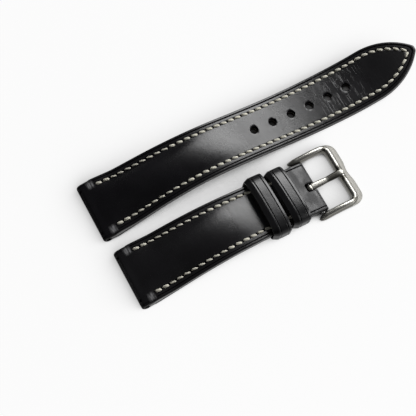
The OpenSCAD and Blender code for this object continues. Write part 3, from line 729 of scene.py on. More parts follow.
def upperRows(half):
    # each row: outer point, direction into the leather, inner point, and the turn round the tip if any
    r, b = rollRadius, roll["bore"]
    start = r + b
    rows = []
    for share in steps(0, 1, rowCounts["end"]):
        s = mix(roll["sheetTo"], start, share)
        rows.append(((s, 0.0), (0, 1), (s, mix(upperUnder - 0.05, r - 0.02, share)), None))
    side = rowCounts["side"]
    for k in range(1, side + 1):
        rows.append(((r + b * (1 - k / side), 0.0), (0, 1), onCircle(-90 * k / side, b, (r, r)), None))
    for k in range(1, rowCounts["round"] + 1):
        rows.append(roundRow((r, r), r, b, -90 - 180 * k / rowCounts["round"]))
    for k in range(1, side + 1):
        inner = onCircle(90 - 90 * k / side, b, (r, r))
        rows.append(((r + b * k / side, roll["height"]), (0, -1), inner, None))
    for s in steps(start, half["flatTo"], round((half["flatTo"] - start) / rowStep))[1:]:
        inner = mix(r, upperUnder, min(1.0, (s - start) / (roll["sheetTo"] - start)))
        rows.append(((s, None), (0, -1), (s, inner), None))
    if half["isLong"]:
        return rows + [((None, None), (0, -1), (None, upperUnder), turn) for turn in tipTurns(rowCounts["tip"])]
    return rows + loopRows(half)


def loopRows(half):
    # over the bar, round it and back under the flat part
    bar, middle, at, start = barLoop["bar"], barLoop["middle"], half["barAt"], half["flatTo"]
    outer = bar + barLoop["wall"]

    def sheetRow(s, share, low, high, side):
        # side is 1 over the bar and -1 under it
        h = low + (high - low) * (1 - (1 - share) ** barLoop["bend"]) * ease(share * barLoop["lead"])
        if s <= at - bar:
            inner = mix(upperUnder, middle, clamp((s - start) / (at - bar - start)))
            inner += side * barLoop["sheetGap"]
        else:
            inner = middle + side * bar * math.sin(math.acos(clamp((s - at) / bar, -1.0, 1.0)))
        return (s, h), (0, -side), (s, inner), None
    rows = [sheetRow(s, (s - start) / (at - start), flatHeight, middle + outer, 1)
            for s in steps(start, at, rowCounts["over"])[1:]]
    rows += [roundRow((at, middle), outer, bar, 90 - 180 * k / rowCounts["round"])
             for k in range(1, rowCounts["round"] + 1)]
    rows += [sheetRow(s, (at - s) / (at - barLoop["sheetTo"]), middle - outer, 0.0, -1)
             for s in steps(at, barLoop["sheetTo"] + 0.5, rowCounts["under"])[1:]]
    return rows


def closedRow(face, back):
    # over the face to the other side and back beneath it; both lists end on the middle line
    points = face + mirrored(face[-2::-1] + back[:-1]) + back[::-1]
    return points + points[:1]


def skinOf(half, table, marks=None):
    # closed rows of strip points made a skin and laid over the half's line
    marks = {"strap": lambda i, j: table[i][j][:2], **(marks or {})}
    bm = gridOf(len(table), len(table[0]), lambda i, j: lay(half, *table[i][j][:3]), marks)
    closeUp(bm, 0.004)
    return bm


def upperRow(half, row):
    # points of (s, y, h, inset), where the inset is below 0 on the sides and the back
    (s, h), inward, (innerS, innerH), turn = row
    width = half["flareHalf"] if turn is not None else halfWidth(half, s)
    radius = layers["edgeRound"]
    if s is not None:
        radius = mix(layers["rollRound"], radius, ease((s - roll["from"]) / roll["roundRun"]))

    def at(inset, s):
        return tipPlace(half, turn, inset) if turn is not None else (s, width - inset)
    face = []
    for inset, depth in faceInsets(width, radius):
        if h is None:
            height = faceHeight(half, half["tipFrom"] if turn is not None else s, inset, width)
            face.append((*at(inset, s), height - depth, inset))
        else:
            # the crease runs round the loop, not round the roll
            depth += creaseDip(inset) if s > half["padEnd"] else 0.0
            face.append((s + inward[0] * depth, width - inset, h + inward[1] * depth, inset))
    onSheet = innerS is None or roll["backFrom"] < innerS < barLoop["sheetFrom"]
    lip = layers["lip"] if onSheet and innerH <= upperUnder + 0.01 else innerH
    deep = underInsets[2]
    low = [(*at(underInsets[0], innerS), lip + 0.01, -1.0), (*at(underInsets[1], innerS), innerH, -1.0),
           (*at(deep, innerS), backHeight(half, innerS, deep, width, innerH), -1.0)]
    middle = (at(width, innerS)[0], 0.0, backHeight(half, innerS, width, width, innerH), -1.0)
    side = []
    for share in sideShares:
        bulge = layers["sideBulge"] * math.sin(math.pi * share)
        height = mix(face[0][2], lip, share)
        if turn is None:
            side.append((mix(face[0][0], low[0][0], share),
                         mix(face[0][1], low[0][1] + underInsets[0], share) + bulge, height, -share))
        else:
            s, y = tipPlace(half, turn, -bulge)
            side.append((s, y if turn < 1 else 0.0, height, -share))
    return closedRow(face, side + low + [middle])


def upperPiece(half, name):
    table = [upperRow(half, row) for row in upperRows(half)]
    bm = skinOf(half, table, {"edge": lambda i, j: (table[i][j][3], table[i][j][2])})
    edgeMap = bm.loops.layers.uv["edge"]
    for face in bm.faces:
        inset = sum(loop[edgeMap].uv.x for loop in face.loops) / len(face.loops)
        face.material_index = 1 if 0 < inset < layers["paintTo"] else 0
    return toObject(name, bm, finishes[name], finishes["edge"])


longUpper = upperPiece(longHalf, "longUpper")
shortUpper = upperPiece(shortHalf, "shortUpper")
print("strap: uppers made")


# Lining, tape and padding: flat layers under the upper
lining = {"insets": [0.0, 0.04, 0.14, 0.3, 0.9, 1.7, 2.0, 2.2, 2.4, 2.6, 2.8, 3.1, 4.5, 6.5], "round": 0.3,
          "wall": 0.6, "step": 0.6, "back": [(0.05, layers["lining"] - 0.02), (0.5, layers["lining"]),
                                             (4.0, layers["lining"])]}
tape = {"insets": [0.35, 3.0], "step": 1.2}
padding = {"start": 0.6, "end": 5.5, "inset": 0.55, "rows": 60, "endRows": 6, "room": 0.08, "base": 0.6,
           "shares": [0.0, 0.02, 0.06, 0.14, 0.25, 0.4, 0.55, 0.7, 0.85, 1.0], "shoulder": 9}


def layerRows(half, step):
    # (place along, turn round the tip) for each row
    start, end = roll["sheetTo"] + layers["gap"], half["layerTo"]
    rows = [(s, None) for s in steps(start, end, round((end - start) / step))]
    if half["isLong"]:
        rows += [(None, turn) for turn in tipTurns(rowCounts["layerTip"])]
    return rows


def layerPlace(half, row, inset):
    s, turn = row
    return tipPlace(half, turn, inset) if turn is not None else (s, halfWidth(half, s) - inset)


def layerMiddle(half, row):
    s, turn = row
    return s if turn is None else tipPlace(half, turn, half["flareHalf"])[0]


def liningPiece(half, name):
    ring = []
    for inset in lining["insets"]:
        off = lining["round"] - min(inset, lining["round"])
        drop = lining["round"] - math.sqrt(max(0.0, lining["round"] ** 2 - off ** 2))
        ring.append((inset, drop + seamDip(inset)))

    def rowPoints(row):
        middle = layerMiddle(half, row)
        face = [(*layerPlace(half, row, inset), h) for inset, h in ring]
        back = [(*layerPlace(half, row, inset), h) for inset, h in [(0.0, lining["wall"])] + lining["back"]]
        return closedRow(face + [(middle, 0.0, 0.0)], back + [(middle, 0.0, layers["lining"])])
    bm = skinOf(half, [rowPoints(row) for row in layerRows(half, lining["step"])])
    for face in bm.faces:
        face.material_index = 1 if abs(face.normal.z) < 0.6 else 0
    return toObject(name, bm, finishes["lining"], finishes["edge"])


def tapePiece(half, name):
    low = layers["lining"] + layers["glue"]
    high = low + layers["tape"]

    def rowPoints(row):
        line = [layerPlace(half, row, inset) for inset in tape["insets"]] + [(layerMiddle(half, row), 0.0)]
        return closedRow([(s, y, high) for s, y in line], [(s, y, low) for s, y in line])
    bm = skinOf(half, [rowPoints(row) for row in layerRows(half, tape["step"])])
    return toObject(name, bm, finishes["tape"])


def paddingPiece(half, name):
    rows = steps(roll["to"] + padding["start"], half["padEnd"] - padding["end"], padding["rows"])
    inset = layers["padIn"] + padding["inset"]
    base = upperUnder + 0.01

    def rowPoints(i, s):
        width = halfWidth(half, s)
        end = min(1.0, min(i, len(rows) - 1 - i) / padding["endRows"])
        thin = math.sqrt(1 - (1 - end) ** 2)
        face = []
        for share in padding["shares"]:
            d = mix(inset, width, share)
            rise = backHeight(half, s, d, width, upperUnder) - upperUnder - padding["room"]
            shoulder = ease(share * padding["shoulder"])
            face.append((s, width - d, upperUnder + 0.02 + max(0.0, rise) * thin * shoulder))
        return closedRow(face, [(s, (width - inset) * padding["base"], base), (s, 0.0, base)])
    return toObject(name, skinOf(half, [rowPoints(i, s) for i, s in enumerate(rows)]), finishes["padding"])


longLining = liningPiece(longHalf, "longLining")
longTape = tapePiece(longHalf, "longTape")
longPadding = paddingPiece(longHalf, "longPadding")
shortLining = liningPiece(shortHalf, "shortLining")
shortTape = tapePiece(shortHalf, "shortTape")
shortPadding = paddingPiece(shortHalf, "shortPadding")
print("strap: inner layers made")


# Adjustment holes, with pressed rims
hole = {"radius": 1.2, "rim": 0.3, "rimTurn": 62, "flare": 0.75, "first": 56.5, "pitch": 6.7, "count": 6,
        "below": 2.5, "above": 0.5}


def holeCutter():
    radius, rim, above = hole["radius"], hole["rim"], flatHeight + hole["above"]
    profile = [(0.0, -hole["below"]), (radius, -hole["below"]), (radius, flatHeight / 2)]
    for k in range(1, 5):
        x, z = onCircle(hole["rimTurn"] * k / 4)
        profile.append((radius + rim * (1 - x), flatHeight - rim + rim * z + 0.02))
    profile += [(radius + hole["flare"], above), (0.0, above)]
    bm = bmesh.new()
    for i in range(hole["count"]):
        addPart(bm, spun(profile, "Z", 48), stripFrame(longHalf, hole["first"] + i * hole["pitch"]))
    return toObject("holeCutter", bm)


def slotCutter():
    # the slot that the tongue swings in
    side, radius, deep = barLoop["slotWidth"] / 2, barLoop["slotRound"], barLoop["slotDeep"]
    at = shortHalf["barAt"]
    back = at - barLoop["slotBack"]
    outline = [(back + 6, -side), (back + 6, side)]
    for middle, first in ((side - radius, 90), (radius - side, 180)):
        outline += [onCircle(turn, radius, (back + radius, middle)) for turn in range(first, first + 91, 15)]
    bm = bmesh.new()
    face = bm.faces.new([bm.verts.new(((s - at) * mm, y * mm, -deep * mm)) for s, y in outline])
    grown = bmesh.ops.extrude_face_region(bm, geom=[face])["geom"]
    grown = [g for g in grown if isinstance(g, bmesh.types.BMVert)]
    bmesh.ops.translate(bm, vec=(0, 0, 2 * deep * mm), verts=grown)
    bmesh.ops.transform(bm, matrix=stripFrame(shortHalf, at, 0, barLoop["middle"]), verts=bm.verts[:])
    bmesh.ops.recalc_face_normals(bm, faces=bm.faces[:])
    return toObject("slotCutter", bm)


cutWith(holeCutter(), longUpper, longLining, longTape)
cutWith(slotCutter(), shortUpper)
print("strap: holes and slot cut")


# Saddle stitching: one plump two-ply thread for each stitch, above and below

def stitchShape(fat):
    rings, sides = stitch["rings"], stitch["sides"]

    def place(i, j):
        share = -math.cos(math.pi * i / (rings - 1))
        x = share * (stitch["length"] / 2)
        turn = 2 * math.pi * j / sides
        r = stitch["thick"] / 2 * fat * math.sqrt(max(0.0, 1 - abs(share) ** stitch["plump"]))
        r *= 1 + stitch["plies"] * math.cos(2 * (turn - math.radians(stitch["twist"]) * x))
        return x, r * math.sin(turn), r * math.cos(turn) * stitch["flat"] - stitch["dive"] * abs(share) ** 4
    bm = gridOf(rings, sides + 1, place,
                {"thread": lambda i, j: (i / (rings - 1) * stitch["length"], j / sides)})
    closeUp(bm, 0.004)
    return meshOf("stitch", bm)


def stitchSpots(half):
    # (s, y, heading in degrees, sewn twice) for every stitch of a half
    start, pitch = stitch["start"], stitch["pitch"]
    if half["isLong"]:
        # the rows of the two sides meet round the tip
        radius, past, full = tipArc(half, layers["stitchIn"])
        row = half["tipFrom"] - start + radius * full
        count = round(row / pitch + 0.5)
        pitch = row / (count - 0.5)
    else:
        count = int((half["sewnTo"] - start) / pitch + 0.001) + 1
    spots = []
    for i in range(count):
        s = start + i * pitch
        if not half["isLong"] or s <= half["tipFrom"]:
            y = halfWidth(half, s) - layers["stitchIn"]
            heading = math.degrees(math.atan((halfWidth(half, s + 1) - halfWidth(half, s - 1)) / 2))
        else:
            angle = (s - half["tipFrom"]) / radius
            s, y = half["tipFrom"] + radius * math.sin(angle), radius * math.cos(angle) - past
            heading = -math.degrees(angle)
        spots += [(s, side * y, side * heading, i < 2) for side in (1, -1)]
    return spots


def stitching(half, name):
    # the first two are sewn twice, and those past the crown lie looser
    plain, worked, doubled = (stitchShape(fat) for fat in (1, stitch["worked"], stitch["doubled"]))
    groove = flatHeight - layers["grooveDepth"]
    bm = bmesh.new()

    def sew(shape, s, y, h, heading, roundOver):
        before = len(bm.verts)
        bm.from_mesh(shape)
        bm.verts.ensure_lookup_table()
        place = stripFrame(half, s, y, h) @ Matrix.Rotation(math.radians(heading), 4, "Z")
        bmesh.ops.transform(bm, matrix=place @ Matrix.Rotation(roundOver, 4, "X"), verts=bm.verts[before:])
    for s, y, heading, twice in stitchSpots(half):
        above = doubled if twice else worked if s > stitch["workedFrom"] else plain
        below = worked if twice else plain
        sew(above, s, y, groove + edgeLift(s) + stitch["lift"], heading - stitch["slant"], 0)
        sew(below, s, y, layers["grooveDepth"] - stitch["sunk"], heading + stitch["slant"], math.pi)
    for shape in (plain, worked, doubled):
        bpy.data.meshes.remove(shape)
    return toObject(name, bm, finishes["thread"], sharp=80)


longStitching = stitching(longHalf, "longStitching")
shortStitching = stitching(shortHalf, "shortStitching")
print("strap: stitching made")


# Keepers: the band rolls down on the lug side and falls a little on the buckle side
keeper = {"width": 5.8, "thick": 1.0, "rollWidth": 1.6, "rollDown": 0.72, "creaseFrom": 2.2, "fallWidth": 1.0,
          "fallDown": 0.12, "room": 2.6, "upright": 0.4, "creaseWidth": 0.4, "creaseDepth": 0.16, "edge": 0.16,
          "corner": 0.7, "squareAcross": 0.72, "squareUp": 0.9, "points": 120,
          "freeAt": 46.8, "freeYaw": 0.0, "freeGap": 0.5, "fixedAt": 53.7, "fixedYaw": 1.5, "fixedGap": 0.12}
# Places on the section beside a crease, in half widths of it, and round the turned edge
besideCrease = (2.4, 1.3, 1, 0.66, 0.33, 0, -0.33, -0.66, -1, -1.3, -2.4)
besideRoll = (0.06, -0.1, -0.25, -0.6, -0.95)
edgeTurns = (0, 30, 60, 90)


def keeperRound(at, gap):
    # the closed line round the strap: flat below with rounded feet, bowed above
    reach = halfWidth(shortHalf, at - keeper["width"] / 2) + gap
    low = -gap
    r = min(keeper["corner"], 3 * gap)
    side = flatHeight + keeper["upright"]
    top = flatHeight + crest(shortHalf, at) + keeper["room"]

    def foot(turns):
        return [(reach - r + r * math.sin(math.radians(t)), low + r - r * math.cos(math.radians(t)))
                for t in turns]
    points = foot(range(0, 91, 15))
    for k in range(181):
        x, z = onCircle(k)
        points.append((reach * squarer(x, keeper["squareAcross"]),
                       side + (top - side) * z ** keeper["squareUp"]))
    points += [(-x, z) for x, z in foot(range(90, -1, -15))]
    return evenly(points, keeper["points"])


def keeperSection():
    # (along, out) round the band's section: inside face first, then the outside with its creases
    thick, edge, half = keeper["thick"], keeper["edge"], keeper["creaseWidth"] / 2
    left, right = -keeper["width"] / 2, keeper["width"] / 2
    rollFrom, fallFrom = left + keeper["rollWidth"], right - keeper["fallWidth"]
    creases = (left + keeper["creaseFrom"], fallFrom)

    def level(x):
        rolled = max(0.0, (rollFrom - x) / keeper["rollWidth"])
        fallen = max(0.0, (x - fallFrom) / keeper["fallWidth"])
        crease = sum(dip(x, middle, keeper["creaseWidth"], keeper["creaseDepth"]) for middle in creases)
        return thick - keeper["rollDown"] * rolled ** 1.1 - keeper["fallDown"] * fallen ** 1.5 - crease
    points = [(left + edge * 0.4, 0.0), (left + 1, 0.0), (0.0, 0.0), (right - 1, 0.0),
              (right - edge * 0.4, 0.0), (right, edge * 0.5), (right, thick * 0.5)]
    points += [onCircle(t, edge, (right - edge, level(right - edge) - edge)) for t in edgeTurns]
    outside = [middle + half * f for middle in creases[::-1] for f in besideCrease]
    outside += [rollFrom + d for d in besideRoll] + [left + 2.5 * edge]
    points += [(x, level(x)) for x in outside]
    points += [onCircle(90 + t, edge, (left + edge, level(left + edge) - edge)) for t in edgeTurns]
    return points + [(left, edge * 0.5)]


def keeperPiece(at, gap, yaw, name):
    line = keeperRound(at, gap)
    section = keeperSection()
    n, m = len(line), len(section)
    outward = []
    for i in range(n):
        way = (Vector(line[(i + 1) % n]) - Vector(line[i - 1])).normalized()
        outward.append((way.y, -way.x))
    place = stripFrame(shortHalf, at) @ Matrix.Rotation(math.radians(yaw), 4, "Z")

    def spot(i, j):
        x, out = section[j % m]
        (y, z), (wayY, wayZ) = line[i % n], outward[i % n]
        return tuple(place @ (Vector((x, y + wayY * out, z + wayZ * out)) * mm) / mm)
    bm = gridOf(n + 1, m + 1, spot, {"strap": lambda i, j: (j * 0.2, i * 0.4)})
    closeUp(bm)
    return toObject(name, bm, finishes["keeper"], sharp=50)


fixedKeeper = keeperPiece(keeper["fixedAt"], keeper["fixedGap"], keeper["fixedYaw"], "fixedKeeper")
freeKeeper = keeperPiece(keeper["freeAt"], keeper["freeGap"], keeper["freeYaw"], "freeKeeper")
print("strap: keepers made")


# Buckle, drawn round the bar: u forward, v across, w up
buckle = {"gap": 17.4, "arm": 2.1, "high": 2.6, "reach": 10.9, "corner": 2.1, "bevel": 1.9, "bevelDip": 0.55,
          "tail": 2.3, "nib": 0.12, "lean": 0.3, "bow": 0.5, "rim": 0.05, "notch": 0.5, "clear": 0.13,
          "bevelRim": 0.6, "dipReach": 4.0, "notchRoom": 0.15, "notchRun": 0.35,
          "tailSlim": 0.4, "tailCut": 1.1, "tipHole": 0.45, "tipHoleAt": 0.47, "tipHoleDeep": 1.16}
tongue = {"wide": 2.2, "thick": 1.1, "sink": 0.5, "gap": 0.3, "past": 0.75, "bend": 0.52, "sides": 16,
          "square": 0.8, "waist": 0.12, "waistRun": 2.5, "taper": 0.2, "tipRun": 0.4, "rise": 1.3, "seat": 0.05,
          "eyeIn": 0.8, "eyeOut": 1.37, "eyeRound": 0.5}
barPlace = Vector(joints["buckle_swing"]["pos_m"])
frontReach = buckle["reach"] + buckle["arm"] / 2 + buckle["bevel"]
frameTilt = math.asin((barPlace.z / mm - buckle["high"] / 2 - buckle["clear"]) / frontReach)
atBar = Matrix.Translation(barPlace) @ Matrix.Rotation(frameTilt, 4, "Y")
armMiddle = (buckle["gap"] + buckle["arm"]) / 2
frontHalf = armMiddle - buckle["corner"]
cornerAt = buckle["reach"] - buckle["corner"]
# The bevel's columns on the frame's section, and how far the crowns keep the bright tone against the painted
# shade, in columns and millimetres
bevelColumns = (9.2, 14.2)
frameLitShare = {"crown": 6, "reach": 3.5, "corner": 0.8, "cornerAt": 38, "cornerRun": 36,
             "notch": 0.7, "notchAt": 1.9, "notchRun": 1.1}
tongueLitShare = {"crown": 3.5, "reach": 4, "far": 0.75, "farRun": 0.8, "farTo": 1.0}


def ringSkin(rings, litShare):
    # rings of points at the bar made a skin; litShare says how far each place keeps the bright tone against the
    # painted shade on the flanks
    m = len(rings[0])
    bm = gridOf(len(rings), m + 1, lambda i, j: tuple(atBar @ (Vector(rings[i][j % m]) * mm) / mm),
                {"steel": lambda i, j: (j, litShare(i, j))})
    closeUp(bm)
    return bm


def smoothSteel(name, bm, *materials):
    piece = toObject(name, bm, *materials, sharp=180)
    smooth = piece.modifiers.new("smooth", "SUBSURF")
    smooth.levels = smooth.render_levels = 2
    bakeModifiers(piece)
    return piece


def framePath():
    # (u, v, turn) along the frame's middle line, from tail to tail
    stations = [(-buckle["tail"] * f, armMiddle + buckle["lean"] * f, 0.0)
                for f in (1, 0.96, 0.88, 0.76, 0.6, 0.45, 0.3, 0.15, 0)]
    stations += [(u, armMiddle, 0.0) for u in steps(0.8, cornerAt - 0.4, 9)]
    for t in steps(0, 90, 12):
        x, y = onCircle(t)
        stations.append((cornerAt + buckle["corner"] * y, frontHalf + buckle["corner"] * x, t))
    stations += [(buckle["reach"], frontHalf * f, 90.0)
                 for f in (0.9, 0.78, 0.66, 0.56, 0.47, 0.39, 0.32, 0.27, 0.23, 0.2, 0.17, 0.13, 0.07)]
    return stations + [(buckle["reach"], 0.0, 90.0)] + [(u, -v, 180 - t) for u, v, t in stations[::-1]]


def frameSection(u, v, turn):
    # (outward, up) points: up the inside, over the crown, down the outside or the bevel, and under it
    front = math.sin(math.radians(turn))
    bevel = buckle["bevel"] * (front ** 2 if u > cornerAt else 0.0)
    rest = 0.0
    if u >= buckle["reach"] - 1e-6:
        bevel -= buckle["bevelDip"] * bump(v, buckle["dipReach"])
        notchHalf = tongue["wide"] / 2 + tongue["gap"] + buckle["notchRoom"]
        rest = buckle["notch"] * ease((notchHalf - abs(v)) / buckle["notchRun"])
    back = max(0.0, -u / buckle["tail"])
    slim = math.sqrt(max(0.02, 1 - back ** 3))
    a = buckle["arm"] / 2 * slim * (1 - buckle["tailSlim"] * back)
    b = buckle["high"] / 2 * slim
    cut = b * buckle["tailCut"] * back
    out = max(buckle["rim"], bevel)
    rim = min(1.0, out / buckle["bevelRim"])
    return [
        (-0.72 * a, -b), (-0.98 * a, -0.72 * b), (-1.02 * a, -0.2 * b), (-0.98 * a, 0.3 * b - 0.6 * cut),
        (-0.72 * a, 0.78 * b - rest * 0.9 - cut), (-0.36 * a, 0.97 * b - rest - cut), (0, b - rest - cut),
        (0.36 * a, 0.97 * b - rest - cut), (0.72 * a, 0.76 * b - rest * 0.8 - cut),
        (0.97 * a, 0.3 * b - 0.3 * rest - 0.6 * cut),
        (mix(a, a + 0.04, rim), mix(0.1 * b, 0.12 * b, rim) - 0.4 * cut),
        (a + out * 0.5, 0.0 - 0.1 * out - 0.2 * cut), (a + out * 0.95, -0.22 * b - 0.25 * out - 0.2 * cut),
        (a + out, -0.34 * b - 0.25 * out - 0.1 * cut), (a + out, -0.62 * b - 0.2 * out),
        (0.8 * a + 0.85 * out, -b)]


def framePiece():
    stations = framePath()
    rings = []
    for u, v, turn in stations:
        outV, outU = onCircle(turn)
        lift = buckle["bow"] * math.sin(math.pi * max(0.0, u) / buckle["reach"])
        rings.append([(u + outU * d, v + outV * d, h + lift) for d, h in frameSection(u, v, turn)])

    def nib(ring):
        # the tails end in a short nib
        u, v, w = (sum(p[k] for p in ring) / len(ring) for k in range(3))
        return [(u - buckle["nib"], v, w)] * len(ring)
    rings = [nib(rings[0])] + rings + [nib(rings[-1])]
    ends = [stations[0]] + stations + [stations[-1]]

    def litShare(i, j):
        # painted shade: the crown keeps the bright tone most, the corners and the sides of the notch least
        _, v, turn = ends[i]
        corner = bump(min(turn, 180 - turn) - frameLitShare["cornerAt"], frameLitShare["cornerRun"])
        notch = bump(abs(v) - frameLitShare["notchAt"], frameLitShare["notchRun"]) if 89 < turn < 91 else 0.0
        crown = max(0.0, 1 - abs(j - frameLitShare["crown"]) / frameLitShare["reach"])
        return crown * (1 - frameLitShare["corner"] * corner) * (1 - frameLitShare["notch"] * notch)
    bm = ringSkin(rings, litShare)
    steelMap = bm.loops.layers.uv["steel"]
    toBar = atBar.inverted()
    for face in bm.faces:
        column = sum(loop[steelMap].uv.x for loop in face.loops) / len(face.loops)
        u = (toBar @ face.calc_center_median() / mm).x
        if bevelColumns[0] < column < bevelColumns[1] and u > cornerAt:
            face.material_index = 1
    return smoothSteel("buckleFrame", bm, finishes["polished"], finishes["brushed"])


def tipHoleCutter():
    # blind holes for the bar's tips, seen when a tip is pressed in
    bm = bmesh.new()
    radius, deep = buckle["tipHole"] * mm, buckle["tipHoleDeep"] * mm
    for side in (-1, 1):
        place = Matrix.Translation((0, side * (buckle["gap"] / 2 + buckle["tipHoleAt"]) * mm, 0))
        bmesh.ops.create_cone(bm, cap_ends=True, segments=32, radius1=radius, radius2=radius, depth=deep,
                              matrix=atBar @ place @ Matrix.Rotation(math.radians(90), 4, "X"))
    return toObject("tipHoleCutter", bm)


buckleFrame = framePiece()
cutWith(tipHoleCutter(), buckleFrame)

# The tongue sinks towards the bar, and rests in the frame's notch
tongueTip = buckle["reach"] + tongue["past"]
tongueBend = tongue["bend"] * buckle["reach"]
tongueRest = buckle["high"] / 2 - buckle["notch"] + tongue["thick"] * 0.42 + tongue["seat"]


def tongueMiddle(u):
    past = max(0.0, (u - tongueBend) / (buckle["reach"] - tongueBend))
    return tongueRest - tongue["sink"] * max(0.0, 1 - past) ** tongue["rise"]


def tongueRing(u):
    end = max(0.0, (u - buckle["reach"] + tongue["tipRun"]) / (tongueTip - buckle["reach"] + tongue["tipRun"]))
    waist = 1 - tongue["waist"] * bump(u - tongueBend, tongue["waistRun"])
    wide = tongue["wide"] / 2 * waist * math.sqrt(max(0.03, 1 - end ** 2))
    thick = tongue["thick"] / 2 * (1 - tongue["taper"] * u / tongueTip) * math.sqrt(max(0.05, 1 - end ** 2))
    ring = []
    for k in range(tongue["sides"]):
        a = 2 * math.pi * (k + 0.5) / tongue["sides"]
        y, z = squarer(math.cos(a), tongue["square"]), squarer(math.sin(a), tongue["square"])
        ring.append((u, -wide * y, tongueMiddle(u) + thick * z))
    return ring


def tonguePiece():
    stations = [tongueBend * f for f in (0.04, 0.2, 0.4, 0.6, 0.8, 0.92, 0.98, 1)]
    stations += [mix(tongueBend, buckle["reach"], f) for f in (0.03, 0.1, 0.25, 0.45, 0.65, 0.85, 0.95, 1)]
    stations += [mix(buckle["reach"], tongueTip, f) for f in (0.3, 0.55, 0.75, 0.9, 0.98)]
    first = (tongueBend * 0.03, 0.0, tongueMiddle(0.1))
    last = (tongueTip + 0.01, 0.0, tongueMiddle(tongueTip))
    rings = [[first] * tongue["sides"]] + [tongueRing(u) for u in stations] + [[last] * tongue["sides"]]
    ends = [0.0] + stations + [tongueTip]

    def litShare(i, j):
        # painted shade: the crown keeps the bright tone most, the far half least
        far = ease((ends[i] - tongueBend) / tongueLitShare["farRun"])
        far *= 1 - ease((ends[i] - buckle["reach"] + tongueLitShare["farTo"]) / tongueLitShare["farRun"])
        return max(0.0, 1 - abs(j - tongueLitShare["crown"]) / tongueLitShare["reach"]) * (1 - tongueLitShare["far"] * far)
    bm = ringSkin(rings, litShare)
    # the eye round the bar
    inner, outer, wide, e = tongue["eyeIn"], tongue["eyeOut"], tongue["wide"] / 2, tongue["eyeRound"]
    side = [(inner, -wide + 0.05), (inner + 0.05, -wide), (outer - e, -wide),
            (outer - 0.3 * e, -wide + 0.3 * e), (outer, -wide + e)]
    addPart(bm, spun(side + [(outer, 0)] + mirrored(side[::-1]), "Y", 40, closed=True), atBar)
    # the eye is given a middling share of the painted shade
    steelMap = bm.loops.layers.uv["steel"]
    for face in bm.faces:
        if all(loop[steelMap].uv.length == 0 for loop in face.loops):
            for loop in face.loops:
                loop[steelMap].uv = (0, 0.5)
    return smoothSteel("buckleTongue", bm, finishes["polished"])


buckleTongue = tonguePiece()
print("strap: buckle made")


# Wire staple under the sliding keeper: two legs of wire against the band
staple = {"wire": 0.5, "long": 3.0, "apart": 2.32, "seat": 0.03, "rings": 24, "sides": 16}


def staplePiece():
    under = keeper["freeGap"] + keeper["thick"] + staple["wire"] / 2 + staple["seat"]
    place = stripFrame(shortHalf, keeper["freeAt"], 0, -under)
    place = place @ Matrix.Rotation(math.radians(keeper["freeYaw"]), 4, "Z")
    bm = bmesh.new()
    for x in (-staple["apart"] / 2, staple["apart"] / 2):

        def spot(i, j):
            share = -math.cos(math.pi * i / staple["rings"])
            r = staple["wire"] / 2 * math.sqrt(max(0.0, 1 - abs(share) ** 10))
            a = 2 * math.pi * j / staple["sides"]
            p = Vector((x + r * math.cos(a), share * (staple["long"] / 2), r * math.sin(a)))
            return tuple(place @ (p * mm) / mm)
        wire = gridOf(staple["rings"] + 1, staple["sides"] + 1, spot,
                      {"steel": lambda i, j: (i * 0.1, j * 0.1)})
        closeUp(wire)
        addPart(bm, wire)
    return toObject("freeKeeperStaple", bm, finishes["staple"], sharp=60)


freeKeeperStaple = staplePiece()

# Each piece, the body it rides on, its slot and the node it stands for
dressed = (
    (longUpper, "root", "upper_leather", "long_upper"),
    (longLining, "root", "lining_leather", "long_lining"),
    (longPadding, "root", "padding_leather", "long_padding"),
    (longTape, "root", "tape", "long_tape"),
    (longStitching, "root", "thread", "long_stitching"),
    (shortUpper, "root", "upper_leather", "short_upper"),
    (shortLining, "root", "lining_leather", "short_lining"),
    (shortPadding, "root", "padding_leather", "short_padding"),
    (shortTape, "root", "tape", "short_tape"),
    (shortStitching, "root", "thread", "short_stitching"),
    (fixedKeeper, "root", "keeper_leather", "fixed_keeper"),
    (freeKeeper, "free_keeper", "keeper_leather", "free_keeper"),
    (freeKeeperStaple, "free_keeper", "staple_steel", "free_keeper_staple"),
    (buckleFrame, "buckle", "buckle_steel", "buckle_frame"),
    (buckleTongue, "tongue", "buckle_steel", "buckle_tongue"),
)
for piece, body, slot, node in dressed:
    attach(piece, body)
    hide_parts(node)
for node in ("spring_bar_tube", "spring_bar_tip_left", "spring_bar_tip_right", "spring_bar_spring"):
    mesh = frame["nodes"][node].data
    mesh.materials.clear()
    mesh.materials.append(finishes["bar"])
print("strap: pieces placed")


# Studio
studio = {"floor": 3.0, "floorColour": (0.36, 0.36, 0.36, 1), "floorGlow": 0.915,
          "room": 0.05, "band": 0.5, "bandTo": 0.42, "bandWay": (0.93, -0.36, 0.0), "bandRange": (-0.2, 0.85)}
# Painted shades on the paper's glow: in tight gaps, under the object, and a slanted one that only the camera
# sees
paintedShades = (
    {"reach": 0.0025, "way": (0, 0, 1), "range": (0.0, 0.55), "darkest": 0.3, "inGloss": True},
    {"reach": 0.02, "way": (0, 0, 1), "range": (0.15, 0.45), "darkest": 0.0, "inGloss": True},
    {"reach": 0.013, "way": (0.52, -0.70, 0.49), "range": (0.26, 0.96), "darkest": 0.46, "inGloss": False},
)
# One broad soft panel behind on the right, a low soft fill in front on the right
lamps = {
    "panel": {"direction": (0.62, 0.42, 0.66), "distance": 1.1, "size": (1.05, 0.56), "power": 9.0},
    "fill": {"direction": (0.80, -0.50, 0.33), "distance": 1.3, "size": (0.9, 0.6), "power": 5.0},
}


